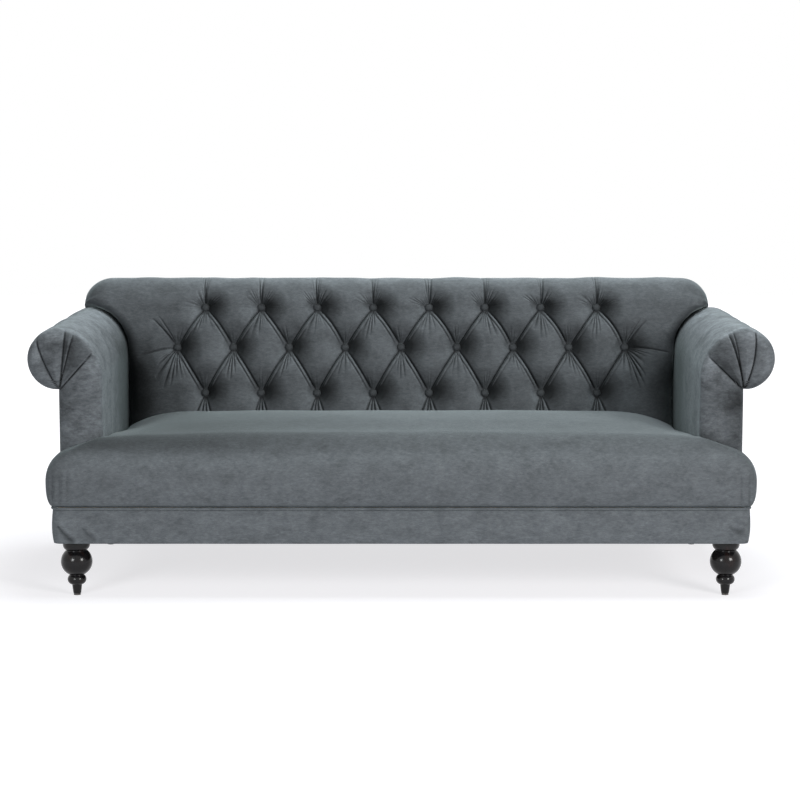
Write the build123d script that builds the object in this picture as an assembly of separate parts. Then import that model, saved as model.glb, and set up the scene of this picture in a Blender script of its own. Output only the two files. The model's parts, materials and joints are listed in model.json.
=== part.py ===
from build123d import *
import math
import os

# A three-seater scroll-arm sofa with a deep-buttoned back, as separate pieces.
# Millimetres. X runs along the sofa, Y to the back, Z up; the floor is Z = 0.

# Overall driving sizes
BASE_HALF = 892.0          # base border, middle to outer face
BASE_FRONT = -419.0        # base border front face
BASE_REAR = 390.0          # outside back panel rear face
GAP = 0.3                  # clearance between neighbouring pieces
FIT = 0.05                 # clearance of a fastener in its hole
COVER_T = 2.0              # velvet with its backing
PANEL_T = 3.0              # outside panels: velvet on lining board

# Legs, dust cover and base rails, from the floor up
GLIDE_T = 4.0
GLIDE_R = 9.0
PIN_R = 1.5                # pin of the glide
PIN_LEN = 12.0
LEG_H = 140.0
FOOT_R = 10.6
ANKLE_R = 13.0
BEAD_R = 24.2
WAIST_R = 18.0
BALL_R = 40.6
NECK_R = 26.4
COLLAR_R = 35.0
LEG_SIDE = 53.0            # leg axis inside the base border's outer face
LEG_INSET = 32.7           # leg axis behind the inner face of the front or rear rail
LEG_X = BASE_HALF - LEG_SIDE
LEG_TOP = GLIDE_T + LEG_H
DUST_T = 1.0
DUST_INSET = 12.0          # dust cover's edge behind the front rail's face
RAIL_H = 84.0
RAIL_T = 26.0
CROSS_DROP = 20.0          # cross rails below the other rails' top
DUST_Z = LEG_TOP + GAP
RAIL_Z = DUST_Z + DUST_T + GAP
RAIL_TOP = RAIL_Z + RAIL_H

# Fasteners of the base
DOWEL_R = 5.0
DOWEL_HALF = 20.0
POST_DOWEL_R = 4.0
BLOCK_LEG = 110.0
BLOCK_H = 60.0
NUT_R = 5.0
NUT_LEN = 14.0
NUT_FLANGE_R = 10.0
NUT_FLANGE_T = 1.5
BOLT_R = 4.0
BOLT_INTO_LEG = 38.0
SCREW_R = 2.5
SCREW_LEN = 40.0

# Springs, hessian and welt, between the rails and the seat
WIRE_R = 2.0
SPRING_LIFT = 6.5          # middle of the wire above the rails
SPRING_SHARES = (0.11, 0.33, 0.55, 0.77, 0.92)
SPRING_HALF = 24.0
SPRING_RUNS = 20
CLIP_HALF = 9.0
CLIP_DEPTH = 12.0
CLIP_T = 1.5
HESSIAN_T = 1.2
SPRING_Z = RAIL_TOP + SPRING_LIFT
HESSIAN_Z = SPRING_Z + WIRE_R + GAP
SEAT_Z = HESSIAN_Z + HESSIAN_T + GAP
WELT_R = 3.4
WELT_Z = SEAT_Z - GAP - WELT_R
BORDER_R = 24.0            # plan corner of the base border
STRIP_T = 7.5              # edge strip under the seat's front

# Seat
NOSE_OUT = 14.0            # nose of the seat before the base border
EAR_OUT = 14.5             # widest point of the two ears beyond the base border
EAR_DEPTH = 99.0           # base border's front to the arm's front
SEAT_EAR_R = 62.0
NOSE_UP = 60.0             # heights over the underside of the seat
SEAT_EDGE_UP = 171.0
SEAT_CROWN_UP = 184.0
SEAT_SHOULDER_UP = 167.0
SEAT_REAR_UP = 166.0
CROWN_SHARE = 0.45         # crown's place from the arm's front to the back
SEAT_FRONT = BASE_FRONT - NOSE_OUT
SEAT_HALF = BASE_HALF + EAR_OUT
NOSE_Z = SEAT_Z + NOSE_UP
SEAT_EDGE = SEAT_Z + SEAT_EDGE_UP
SEAT_CROWN = SEAT_Z + SEAT_CROWN_UP
SEAT_SHOULDER = SEAT_Z + SEAT_SHOULDER_UP
SEAT_REAR = SEAT_Z + SEAT_REAR_UP

# Arms
BORDER_STEP = 6.0          # base border proud of the outside arm panel
ARM_WIDTH = 112.0
ARM_UP = 447.0             # top of the arms over the underside of the seat
ARM_SHORT = 53.0           # rear end of the arms before the outside back panel
SCROLL_R = 80.0            # scroll at the front
SCROLL_REAR_R = 66.0       # scroll at the back end
SCROLL_TURN = 21.5         # degrees from the crown where the curves join
ARM_ROUND = 26.0           # soft edge round the arm front
ARM_LEAD = 30.0            # arm front to the start of the outside panel
ARM_PAD = 24.0             # foam outside the arm boards
FORMER_T = 3.0
BOARD_T = 18.0
BOARD_SET = 20.0           # front board behind the arm's front
ARM_RAIL_W = 50.0
INNER_RAIL_UP = 60.0
OUTER_RAIL_UP = 200.0
ARM_OUTER = BASE_HALF - BORDER_STEP
ARM_INNER = ARM_OUTER - ARM_WIDTH
ARM_FRONT = BASE_FRONT + EAR_DEPTH
ARM_STRAIGHT = ARM_FRONT + ARM_LEAD
ARM_REAR = BASE_REAR - ARM_SHORT
ARM_TOP = SEAT_Z + ARM_UP
ARM_BOTTOM = RAIL_TOP + GAP
SCROLL_SIN = math.sin(math.radians(SCROLL_TURN))
SCROLL_COS = math.cos(math.radians(SCROLL_TURN))
SHOULDER_R = (ARM_WIDTH - SCROLL_R * SCROLL_SIN) / (1 - SCROLL_SIN)
SHOULDER_X = ARM_INNER + SHOULDER_R
SHOULDER_Z = ARM_TOP - SCROLL_R - (SHOULDER_R - SCROLL_R) * SCROLL_COS

# Back
BACK_OVER = 82.0           # top of the back over the arms
BACK_PROUD = 1.0           # ends of the back beyond the outside arm panels
BACK_LEAN = 10.5
ROLL_R = 85.0
ROLL_SET = 41.0            # axis of the roll before the outside back panel's rear face
ROLL_END = 232.0           # turn of the roll where the cover tucks under
END_ROUND = 72.0           # soft ends of the back
ROLL_PAD = 28.0            # foam over the roll former
FRAME_SET = 15.0           # frame's front plane behind the axis of the roll
END_PANEL = 140.0          # last button of the long row to the arm
BUTTONS_LONG_ROW = 9
BOTTOM_ROW_UP = 50.0       # bottom row over the seat's rear edge
TOP_ROW_DROP = 4.5         # top row below the start of the roll
MIDDLE_SHARE = 0.533
SEAT_OF_BUTTON = 14.0      # half width of the flat in which a button sits
BUTTON_R = 11.0
BUTTON_H = 8.0
BUTTON_LIFT = 1.1
DIMPLE = 38.0              # button seat below the crest of the padding
PLEAT = 17.0               # pleat below the crest, half way between buttons
TWINE_R = 1.0
TWINE_HOLE_R = 1.3
PEG_R = 4.0
PEG_L = 11.0
PEG_BITE = 3.0             # peg's start before the frame's front plane
LEAN = math.radians(BACK_LEAN)
BACK_TOP = ARM_TOP + BACK_OVER
BACK_HALF = ARM_OUTER + BACK_PROUD
BACK_BOTTOM = NOSE_Z
ROLL_Y = BASE_REAR - ROLL_SET
ROLL_Z = BACK_TOP - ROLL_R
ROLL_START = ROLL_Z + ROLL_R * math.sin(LEAN)
FRAME_DEPTH = ROLL_R + FRAME_SET
FORMER_OUT = ROLL_R - ROLL_PAD - GAP
FORMER_IN = FORMER_OUT - FORMER_T
PITCH = (ARM_INNER - END_PANEL) / ((BUTTONS_LONG_ROW - 1) / 2)
HALF_PITCH = PITCH / 2
SHORT_ROW = [(i - (BUTTONS_LONG_ROW - 2) / 2) * PITCH for i in range(BUTTONS_LONG_ROW - 1)]
LONG_ROW = [(i - (BUTTONS_LONG_ROW - 1) / 2) * PITCH for i in range(BUTTONS_LONG_ROW)]
BOTTOM_ROW_Z = SEAT_REAR + BOTTOM_ROW_UP
TOP_ROW_Z = ROLL_START - TOP_ROW_DROP
MIDDLE_ROW_Z = BOTTOM_ROW_Z + MIDDLE_SHARE * (TOP_ROW_Z - BOTTOM_ROW_Z)
ROW_Z = (BOTTOM_ROW_Z, MIDDLE_ROW_Z, TOP_ROW_Z)
PEG_NEAR = FRAME_DEPTH - DIMPLE - PEG_BITE

# Frame members of the back
POST_T = 25.0
STILE_X = PITCH * 1.25
TOP_RAIL_DROP = 124.0      # underside of the top rail below the top of the back
RAIL_CLEAR = 3.7           # top rail's edge below the roll former
LOWER_RAIL_UP = 50.0       # underside of the lower rail over the underside of the seat
LOWER_RAIL_H = 60.0
RIB_T = 18.0
WEB_T = 1.5
WEB_W = 50.0
TOP_RAIL_Z = BACK_TOP - TOP_RAIL_DROP
LOWER_RAIL_Z = SEAT_Z + LOWER_RAIL_UP

# Derived faces of the base frame
FRONT_FACE = BASE_FRONT + COVER_T + GAP
FRONT_INNER = FRONT_FACE + RAIL_T
REAR_FACE = BASE_REAR - PANEL_T - GAP
REAR_INNER = REAR_FACE - RAIL_T
SIDE_FACE = ARM_OUTER - PANEL_T - GAP
SIDE_INNER = SIDE_FACE - RAIL_T
SIDES = ((-1, "left"), (1, "right"))


def save(name, *shapes):
    """Write one named piece, or a group of like pieces, to its own file."""
    solids = [solid for shape in shapes for solid in shape.solids()]
    shape = solids[0] if len(solids) == 1 else Compound(children=solids)
    shape.label = name
    export_step(shape, f"parts/{name}.step")


def block(x0, x1, y0, y1, z0, z1):
    """A box between two corners."""
    centre = ((x0 + x1) / 2, (y0 + y1) / 2, (z0 + z1) / 2)
    return Pos(*centre) * Box(x1 - x0, y1 - y0, z1 - z0)


def rod(x, y, z0, z1, radius):
    """An upright cylinder."""
    return Pos(x, y, (z0 + z1) / 2) * Cylinder(radius, z1 - z0)


def rod_y(x, z, y0, y1, radius):
    """A cylinder that runs front to back."""
    return Pos(x, (y0 + y1) / 2, z) * Rot(90, 0, 0) * Cylinder(radius, y1 - y0)


def mirrored(shape, side):
    """A right-hand shape as drawn, or its left-hand twin."""
    return shape if side > 0 else mirror(shape, about=Plane.YZ)


def prism_x(points, x0, x1):
    """A (y, z) outline drawn out along X."""
    outline = Polyline(*[(x0, y, z) for y, z in points], close=True)
    return extrude(make_face(outline), amount=x1 - x0, dir=(1, 0, 0))


def prism_z(points, z0, z1):
    """An (x, y) outline drawn out upwards."""
    outline = Polyline(*[(x, y, z0) for x, y in points], close=True)
    return extrude(make_face(outline), amount=z1 - z0, dir=(0, 0, 1))


# Base frame

def bolt_places():
    """Leg axes, front pair first."""
    front = FRONT_INNER + LEG_INSET
    rear = REAR_INNER - LEG_INSET
    return [(side * LEG_X, y) for y in (front, rear) for side in (-1, 1)]


def dowel_places():
    """Dowels of the four base corners as (x, joint face y, z)."""
    x = (SIDE_FACE + SIDE_INNER) / 2
    heights = (RAIL_Z + RAIL_H * 0.3, RAIL_Z + RAIL_H * 0.7)
    return [(s * x, y, z) for s in (-1, 1) for y in (FRONT_INNER, REAR_INNER) for z in heights]


def dowel(place, grow):
    """A level dowel across a joint, or its hole when grown."""
    x, y, z = place
    return rod_y(x, z, y - DOWEL_HALF - grow, y + DOWEL_HALF + grow, DOWEL_R + grow)


def post_dowel(place, grow):
    """An upright dowel half in a rail, or its hole when grown."""
    x, y = place
    return rod(x, y, RAIL_TOP - DOWEL_HALF - grow, RAIL_TOP + DOWEL_HALF + grow, POST_DOWEL_R + grow)


def post_dowel_places():
    """Upright dowels that hold the arm boards and the back posts on the rails."""
    x = (SIDE_FACE + SIDE_INNER) / 2
    front = board_span("front")
    rear = board_span("rear")
    middle = (REAR_FACE + REAR_INNER) / 2
    arms = [(s * x, sum(span) / 2) for s in (-1, 1) for span in (front, rear)]
    backs = [(s * (post_span()[0] + POST_T / 2), middle) for s in (-1, 1)]
    stiles = [(s * STILE_X, middle) for s in (-1, 1)]
    return arms + backs + stiles


def drilled(shape, tools):
    """Cut the tools out of a piece, one after another."""
    for tool in tools:
        shape = shape - tool
    return shape


def base_rails():
    """The four rails of the base, drilled, and the dowels that join them."""
    holes = [dowel(place, FIT) for place in dowel_places()]
    holes += [screw(place, FIT) for place in screw_places()]
    upright = [post_dowel(place, FIT) for place in post_dowel_places()]
    half = BASE_HALF - COVER_T - GAP
    front = block(-half, half, FRONT_FACE, FRONT_INNER, RAIL_Z, RAIL_TOP)
    corners = front.edges().filter_by(Axis.Z).group_by(Axis.Y)[0]
    front = fillet(corners, BORDER_R - COVER_T)
    rear = block(-SIDE_FACE, SIDE_FACE, REAR_INNER, REAR_FACE, RAIL_Z, RAIL_TOP)
    save("front_seat_rail", drilled(front, holes))
    save("rear_seat_rail", drilled(rear, holes + upright))
    for side, word in SIDES:
        x0, x1 = sorted((side * SIDE_INNER, side * SIDE_FACE))
        rail = block(x0, x1, FRONT_INNER, REAR_INNER, RAIL_Z, RAIL_TOP)
        save(f"{word}_seat_rail", drilled(rail, holes + upright))
    save("base_dowels", *[dowel(place, 0) for place in dowel_places()])
    save("post_dowels", *[post_dowel(place, 0) for place in post_dowel_places()])


def cross_rails():
    """Two rails from front to rear, at thirds of the length."""
    half = RAIL_T / 2
    rails = []
    for x in (-SIDE_INNER / 3, SIDE_INNER / 3):
        rails.append(block(x - half, x + half, FRONT_INNER, REAR_INNER, RAIL_Z, RAIL_TOP - CROSS_DROP))
    save("seat_cross_rails", *rails)


def screw_places():
    """Corner-block screws as (start point, direction into the rail)."""
    places = []
    z = RAIL_Z + BLOCK_H / 2
    for x, y in bolt_places():
        sx = math.copysign(1, x)
        sy = math.copysign(1, y)
        face_y = FRONT_INNER if sy < 0 else REAR_INNER
        off = BLOCK_LEG * 0.62
        depth = BLOCK_LEG - off
        places.append(((sx * (SIDE_INNER - off), face_y - sy * depth * 0.55, z), (0, sy, 0)))
        places.append(((sx * (SIDE_INNER - depth * 0.55), face_y - sy * off, z), (sx, 0, 0)))
    return places


def screw(place, grow):
    """The shank of a corner-block screw, or its hole when grown."""
    start, way = place
    axis = Plane(origin=start, z_dir=way)
    return axis * Pos(0, 0, SCREW_LEN / 2) * Cylinder(SCREW_R + grow, SCREW_LEN + 2 * grow)


def corner_blocks():
    """Glued and screwed corner blocks, with holes for the leg nuts."""
    blocks = []
    for x, y in bolt_places():
        sx = math.copysign(1, x)
        sy = math.copysign(1, y)
        cx = sx * SIDE_INNER
        cy = FRONT_INNER if sy < 0 else REAR_INNER
        outline = [(cx, cy), (cx - sx * BLOCK_LEG, cy), (cx, cy - sy * BLOCK_LEG)]
        piece = prism_z(outline, RAIL_Z, RAIL_Z + BLOCK_H)
        piece = piece - rod(x, y, RAIL_Z - 1, RAIL_Z + BLOCK_H + 1, NUT_R + FIT)
        blocks.append(drilled(piece, [screw(place, FIT) for place in screw_places()]))
    save("corner_blocks", *blocks)
    save("corner_block_screws", *[screw(place, 0) for place in screw_places()])


# Legs

def leg_shape():
    """One turned leg: foot, bead, ball and collar."""
    foot = GLIDE_T
    ankle = foot + LEG_H * 0.17
    waist = foot + LEG_H * 0.35
    ball = foot + LEG_H * 0.585
    neck = foot + LEG_H * 0.815
    collar = foot + LEG_H * 0.94
    toe = foot + LEG_H * 0.03
    cove = neck * 0.55 + collar * 0.45
    curl = (GLIDE_R + FOOT_R * 2) / 3
    with BuildSketch(Plane.XZ) as sketch:
        with BuildLine():
            Line((0, foot), (GLIDE_R, foot))
            ThreePointArc((GLIDE_R, foot), (curl, (foot * 2 + toe) / 3), (FOOT_R, toe))
            Line((FOOT_R, toe), (ANKLE_R, ankle))
            ThreePointArc((ANKLE_R, ankle), (BEAD_R, (ankle + waist) / 2), (WAIST_R, waist))
            ThreePointArc((WAIST_R, waist), (BALL_R, ball), (NECK_R, neck))
            ThreePointArc((NECK_R, neck), (COLLAR_R * 0.957, cove), (COLLAR_R, collar))
            Line((COLLAR_R, collar), (COLLAR_R, LEG_TOP))
            Line((COLLAR_R, LEG_TOP), (0, LEG_TOP))
            Line((0, LEG_TOP), (0, foot))
        make_face()
    leg = revolve(sketch.sketch, Axis.Z)
    leg = leg - rod(0, 0, LEG_TOP - BOLT_INTO_LEG, LEG_TOP + 1, BOLT_R + FIT)
    return leg - rod(0, 0, GLIDE_T - 1, GLIDE_T + PIN_LEN + FIT, PIN_R + FIT)


def legs():
    """Four legs, each with its bolt, its nut and its glide."""
    names = ("front_left_leg", "front_right_leg", "rear_left_leg", "rear_right_leg")
    leg = leg_shape()
    for name, (x, y) in zip(names, bolt_places()):
        save(name, Pos(x, y, 0) * leg)
    top = RAIL_Z + BLOCK_H
    bolt = rod(0, 0, LEG_TOP - BOLT_INTO_LEG + FIT, top, BOLT_R)
    nut = rod(0, 0, top - NUT_LEN, top, NUT_R) + rod(0, 0, top, top + NUT_FLANGE_T, NUT_FLANGE_R)
    nut = nut - rod(0, 0, top - NUT_LEN - 1, top + NUT_FLANGE_T + 1, BOLT_R + FIT)
    glide = rod(0, 0, 0, GLIDE_T, GLIDE_R) + rod(0, 0, GLIDE_T, GLIDE_T + PIN_LEN, PIN_R)
    save("leg_bolts", *[Pos(x, y, 0) * bolt for x, y in bolt_places()])
    save("leg_nuts", *[Pos(x, y, 0) * nut for x, y in bolt_places()])
    save("leg_glides", *[Pos(x, y, 0) * glide for x, y in bolt_places()])


def dust_cover():
    """Thin cloth under the base, pierced by the leg bolts."""
    sheet = block(-SIDE_FACE, SIDE_FACE, FRONT_FACE + DUST_INSET, REAR_FACE, DUST_Z, DUST_Z + DUST_T)
    holes = [rod(x, y, 0, RAIL_TOP, BOLT_R + 1) for x, y in bolt_places()]
    save("dust_cover", drilled(sheet, holes))


# Base border, welt and seat

def border_path(inset):
    """Plan line of the border: up one ear, along the front, down the other ear."""
    x = BASE_HALF - inset
    y = BASE_FRONT + inset
    r = BORDER_R - inset
    end = ARM_FRONT - 1
    k = r * (1 - math.sqrt(0.5))
    return [
        ((-x, end), None, (-x, y + r)),
        ((-x, y + r), (-x + k, y + k), (-x + r, y)),
        ((-x + r, y), None, (x - r, y)),
        ((x - r, y), (x - k, y + k), (x, y + r)),
        ((x, y + r), None, (x, end)),
    ]


def edge(start, through, end):
    """A line, or an arc where a middle point is given."""
    if through is None:
        return Edge.make_line(start, end)
    return Edge.make_three_point_arc(start, through, end)


def placed(pieces, place):
    """Edges of flat pieces, each point put in space by the place function."""
    edges = []
    for start, through, end in pieces:
        middle = None if through is None else place(through)
        edges.append(edge(place(start), middle, place(end)))
    return edges


def joined(corners):
    """Straight pieces between listed corners."""
    return [(a, None, b) for a, b in zip(corners, corners[1:])]


def base_border():
    """Velvet band round the base, from one arm to the other."""
    def level(point):
        return (point[0], point[1], RAIL_Z - 2 * GAP)

    outer = border_path(0)
    inner = border_path(COVER_T)
    back = [(end, through, start) for start, through, end in reversed(inner)]
    ends = [(outer[-1][2], None, inner[-1][2]), (inner[0][0], None, outer[0][0])]
    wire = Wire(placed(outer + ends[:1] + back + ends[1:], level))
    height = WELT_Z - WELT_R - GAP - (RAIL_Z - 2 * GAP)
    save("base_border", Solid.extrude(Face(wire), Vector(0, 0, height)))


def base_welt():
    """Piping between the base border and the seat."""
    path = Wire(placed(border_path(1.0), lambda p: (p[0], p[1], WELT_Z)))
    section = Plane(origin=path @ 0, z_dir=path % 0) * Circle(WELT_R)
    save("base_welt", sweep(section, path=path))


def lean_y(z):
    """Crest of the back padding at a height, on its straight part."""
    top = ROLL_Z + ROLL_R * math.sin(LEAN)
    return ROLL_Y - ROLL_R * math.cos(LEAN) - (top - z) * math.tan(LEAN)


def seat_side(inset):
    """Front-to-back outline of the seat: nose, crown and raked rear."""
    seam = (BASE_FRONT + 1.5 + inset, SEAT_Z)
    nose = (SEAT_FRONT + inset, NOSE_Z)
    brow = (SEAT_FRONT + 7 + inset * 0.95, NOSE_Z + 38 - inset * 0.3)
    turn = (SEAT_FRONT + 41 + inset * 0.7, SEAT_EDGE - 23 - inset * 0.7)
    top = (ARM_FRONT - 10, SEAT_EDGE - inset)
    rear_y = lean_y(SEAT_REAR) - 1 - inset
    crown = (ARM_FRONT + (rear_y - ARM_FRONT) * CROWN_SHARE, SEAT_CROWN - inset)
    rear = (rear_y, SEAT_REAR - inset)
    foot = (lean_y(SEAT_Z) - 1 - inset, SEAT_Z)
    return [
        (seam, nose, brow), (brow, turn, top), (top, crown, rear),
        (rear, None, foot), (foot, None, seam),
    ]


def seat_front(inset):
    """Side-to-side outline of the seat: bulging ears and a low crown."""
    def half(side):
        seam = (side * (BASE_HALF - 1.5 - inset), SEAT_Z)
        bulge = (side * (SEAT_HALF - inset), NOSE_Z)
        brow = (side * (SEAT_HALF - 11 - inset * 0.95), NOSE_Z + 42 - inset * 0.3)
        turn = (side * (ARM_OUTER - 30 - inset * 0.5), SEAT_SHOULDER - 24 - inset * 0.8)
        top = (side * (ARM_INNER - 10), SEAT_SHOULDER - inset)
        return seam, bulge, brow, turn, top

    right = half(1)
    left = half(-1)
    crown = (0, SEAT_CROWN + 1 - inset)
    return [
        (right[0], right[1], right[2]), (right[2], right[3], right[4]), (right[4], crown, left[4]),
        (left[4], left[3], left[2]), (left[2], left[1], left[0]), (left[0], None, right[0]),
    ]


def seat_plan(inset):
    """T-shaped plan of the seat."""
    x = SEAT_HALF + 2 - inset
    y = SEAT_FRONT - 2 + inset
    r = SEAT_EAR_R
    k = r * (1 - math.sqrt(0.5))
    ear = ARM_FRONT - 1 - inset
    deck = ARM_INNER - 1 - inset
    rear = lean_y(SEAT_REAR) + 5
    right = [(x, y + r), (x, ear), (deck, ear), (deck, rear)]
    left = [(-px, py) for px, py in reversed(right)]
    return [
        *joined(right + left),
        ((-x, y + r), (-x + k, y + k), (-x + r, y)),
        ((-x + r, y), None, (x - r, y)),
        ((x - r, y), (x - k, y + k), (x, y + r)),
    ]


def seat_shape(inset):
    """The seat as what its three outlines have in common."""
    wide = SEAT_HALF + 20
    side = Face(Wire(placed(seat_side(inset), lambda p: (-wide, p[0], p[1]))))
    front = Face(Wire(placed(seat_front(inset), lambda p: (p[0], SEAT_FRONT - 20, p[1]))))
    plan = Face(Wire(placed(seat_plan(inset), lambda p: (p[0], p[1], SEAT_Z - 20))))
    body = Solid.extrude(side, Vector(2 * wide, 0, 0))
    body = body & Solid.extrude(front, Vector(0, BASE_REAR - SEAT_FRONT + 40, 0))
    return body & Solid.extrude(plan, Vector(0, 0, SEAT_CROWN - SEAT_Z + 60))


def seat():
    """Velvet cover, foam, and the strip that backs the seam at the front."""
    save("seat_cover", seat_shape(0) - seat_shape(COVER_T))
    save("seat_foam", seat_shape(COVER_T + GAP))
    y0 = BASE_FRONT + 8
    strip = block(14 - BASE_HALF, BASE_HALF - 14, y0, y0 + STRIP_T, RAIL_TOP + GAP, SEAT_Z - GAP)
    save("seat_edge_strip", strip)


# Springs under the seat

def spring_ends():
    """Front and rear ends of the springs, over the rails."""
    return FRONT_INNER - CLIP_DEPTH / 2, REAR_INNER + CLIP_DEPTH / 2


def spring_shape():
    """One sinuous spring: level runs joined by half-round bends."""
    y0, y1 = spring_ends()
    step = (y1 - y0) / SPRING_RUNS
    r = step / 2
    reach = SPRING_HALF - r
    pieces = []
    for run in range(SPRING_RUNS + 1):
        way = 1 if run % 2 == 0 else -1
        y = y0 + run * step
        pieces.append(((-way * reach, y), None, (way * reach, y)))
        if run < SPRING_RUNS:
            out = way * (reach + r)
            k = way * (reach + r * math.sqrt(0.5))
            pieces.append(((way * reach, y), (k, y + r - r * math.sqrt(0.5)), (out, y + r)))
            pieces.append(((out, y + r), (k, y + r + r * math.sqrt(0.5)), (way * reach, y + step)))
    path = Wire(placed(pieces, lambda p: (p[0], p[1], SPRING_Z)))
    section = Plane(origin=path @ 0, z_dir=path % 0) * Circle(WIRE_R)
    return sweep(section, path=path)


def clip_shape(y, way):
    """A folded clip: foot on the rail, back, and lid over the wire."""
    lid = SPRING_Z + WIRE_R + 0.1
    half = CLIP_DEPTH / 2
    y0, y1 = sorted((y - way * half, y + way * half))
    foot = block(-CLIP_HALF, CLIP_HALF, y0, y1, RAIL_TOP, RAIL_TOP + CLIP_T)
    top = block(-CLIP_HALF, CLIP_HALF, y0, y1, lid, lid + 1)
    b0, b1 = sorted((y + way * half, y + way * (half - CLIP_T)))
    return foot + top + block(-CLIP_HALF, CLIP_HALF, b0, b1, RAIL_TOP, lid + 1)


def springs():
    """Sinuous springs, their clips, and the hessian over them."""
    places = [s * share * ARM_INNER for share in SPRING_SHARES for s in (-1, 1)]
    spring = spring_shape()
    save("seat_springs", *[Pos(x, 0, 0) * spring for x in places])
    y0, y1 = spring_ends()
    clips = [Pos(x, 0, 0) * clip_shape(y, way) for x in places for y, way in ((y0, -1), (y1, 1))]
    save("spring_clips", *clips)
    half = ARM_INNER - 4
    top = HESSIAN_Z + HESSIAN_T
    save("seat_hessian", block(-half, half, FRONT_INNER + 2, lean_y(SEAT_Z), HESSIAN_Z, top))


# Arms

def scroll_r(y):
    """Scroll radius, which lessens towards the back."""
    share = max(0.0, (y - ARM_STRAIGHT) / (ARM_REAR - ARM_STRAIGHT))
    return SCROLL_R + (SCROLL_REAR_R - SCROLL_R) * share


def scroll_centre(y):
    """Centre of the scroll circle and the turn where it joins the shoulder curve."""
    r = scroll_r(y)
    rise = ARM_TOP - r - SHOULDER_Z
    turn = math.acos(rise / (SHOULDER_R - r))
    return SHOULDER_X - (SHOULDER_R - r) * math.sin(turn), SHOULDER_Z + rise, turn


def scroll_bottom(y):
    """Height at which the scroll meets the outside of the arm."""
    x, z, _ = scroll_centre(y)
    return z - math.sqrt(scroll_r(y) ** 2 - (ARM_OUTER - x) ** 2)


def round_point(centre, radius, angle):
    """A point on a circle."""
    return (centre[0] + radius * math.cos(angle), centre[1] + radius * math.sin(angle))


def arm_wire(y, inset, outer):
    """Cross-section of the right arm, drawn in by an inset, with a set outer face."""
    cx, cz, turn = scroll_centre(y)
    shoulder = (SHOULDER_X, SHOULDER_Z)
    centre = (cx, cz)
    r1 = SHOULDER_R - inset
    r2 = scroll_r(y) - inset
    join = math.pi / 2 + turn
    out = math.radians(12)
    under = -math.acos((outer - cx) / r2)
    inner_foot = (ARM_INNER + inset, ARM_BOTTOM)
    inner_top = (ARM_INNER + inset, SHOULDER_Z)
    crown = round_point(centre, r2, join)
    side = round_point(centre, r2, out)
    tuck = round_point(centre, r2, under)
    pieces = [
        (inner_foot, None, inner_top),
        (inner_top, round_point(shoulder, r1, (math.pi + join) / 2), crown),
        (crown, round_point(centre, r2, (join + out) / 2), side),
        (side, round_point(centre, r2, (out + under) / 2), tuck),
        (tuck, None, (outer, ARM_BOTTOM)),
        ((outer, ARM_BOTTOM), None, inner_foot),
    ]
    return Wire(placed(pieces, lambda p: (p[0], y, p[1])))


def arm_body(inset):
    """The padded arm, with its soft edge round the front."""
    wires = []
    for share in (0.0, 0.15, 0.46, 1.0):
        back = ARM_ROUND * (1 - share)
        extra = ARM_ROUND - math.sqrt(ARM_ROUND ** 2 - back ** 2)
        y = ARM_FRONT + inset + ARM_ROUND * share
        wires.append(arm_wire(y, inset + extra, ARM_OUTER - inset - extra))
    wires.append(arm_wire(ARM_REAR - inset, inset, ARM_OUTER - inset))
    return Solid.make_loft(wires, ruled=True)


def arm_slice(y0, y1, inset, outer):
    """A plain length of the arm's cross-section."""
    return Solid.make_loft([arm_wire(y0, inset, outer), arm_wire(y1, inset, outer)], ruled=True)


def outside_outline(grow):
    """Side outline of the outside arm panel below the scroll."""
    y0 = ARM_STRAIGHT - grow
    y1 = REAR_FACE - GAP
    slope = (scroll_bottom(ARM_REAR) - scroll_bottom(ARM_STRAIGHT)) / (ARM_REAR - ARM_STRAIGHT)
    front = scroll_bottom(ARM_STRAIGHT) + slope * (y0 - ARM_STRAIGHT) - 1 + grow
    rear = scroll_bottom(ARM_STRAIGHT) + slope * (y1 - ARM_STRAIGHT) - 1 + grow
    low = RAIL_Z - 2 * GAP
    return [(ARM_FRONT, low), (ARM_FRONT, ARM_BOTTOM - GAP), (y0, ARM_BOTTOM - GAP), (y0, front),
            (y1, rear), (y1, low)]


def board_span(which):
    """Front and rear faces of an arm board."""
    if which == "front":
        start = ARM_FRONT + BOARD_SET
        return start, start + BOARD_T
    end = ARM_REAR - COVER_T - GAP
    return end - BOARD_T, end


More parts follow.
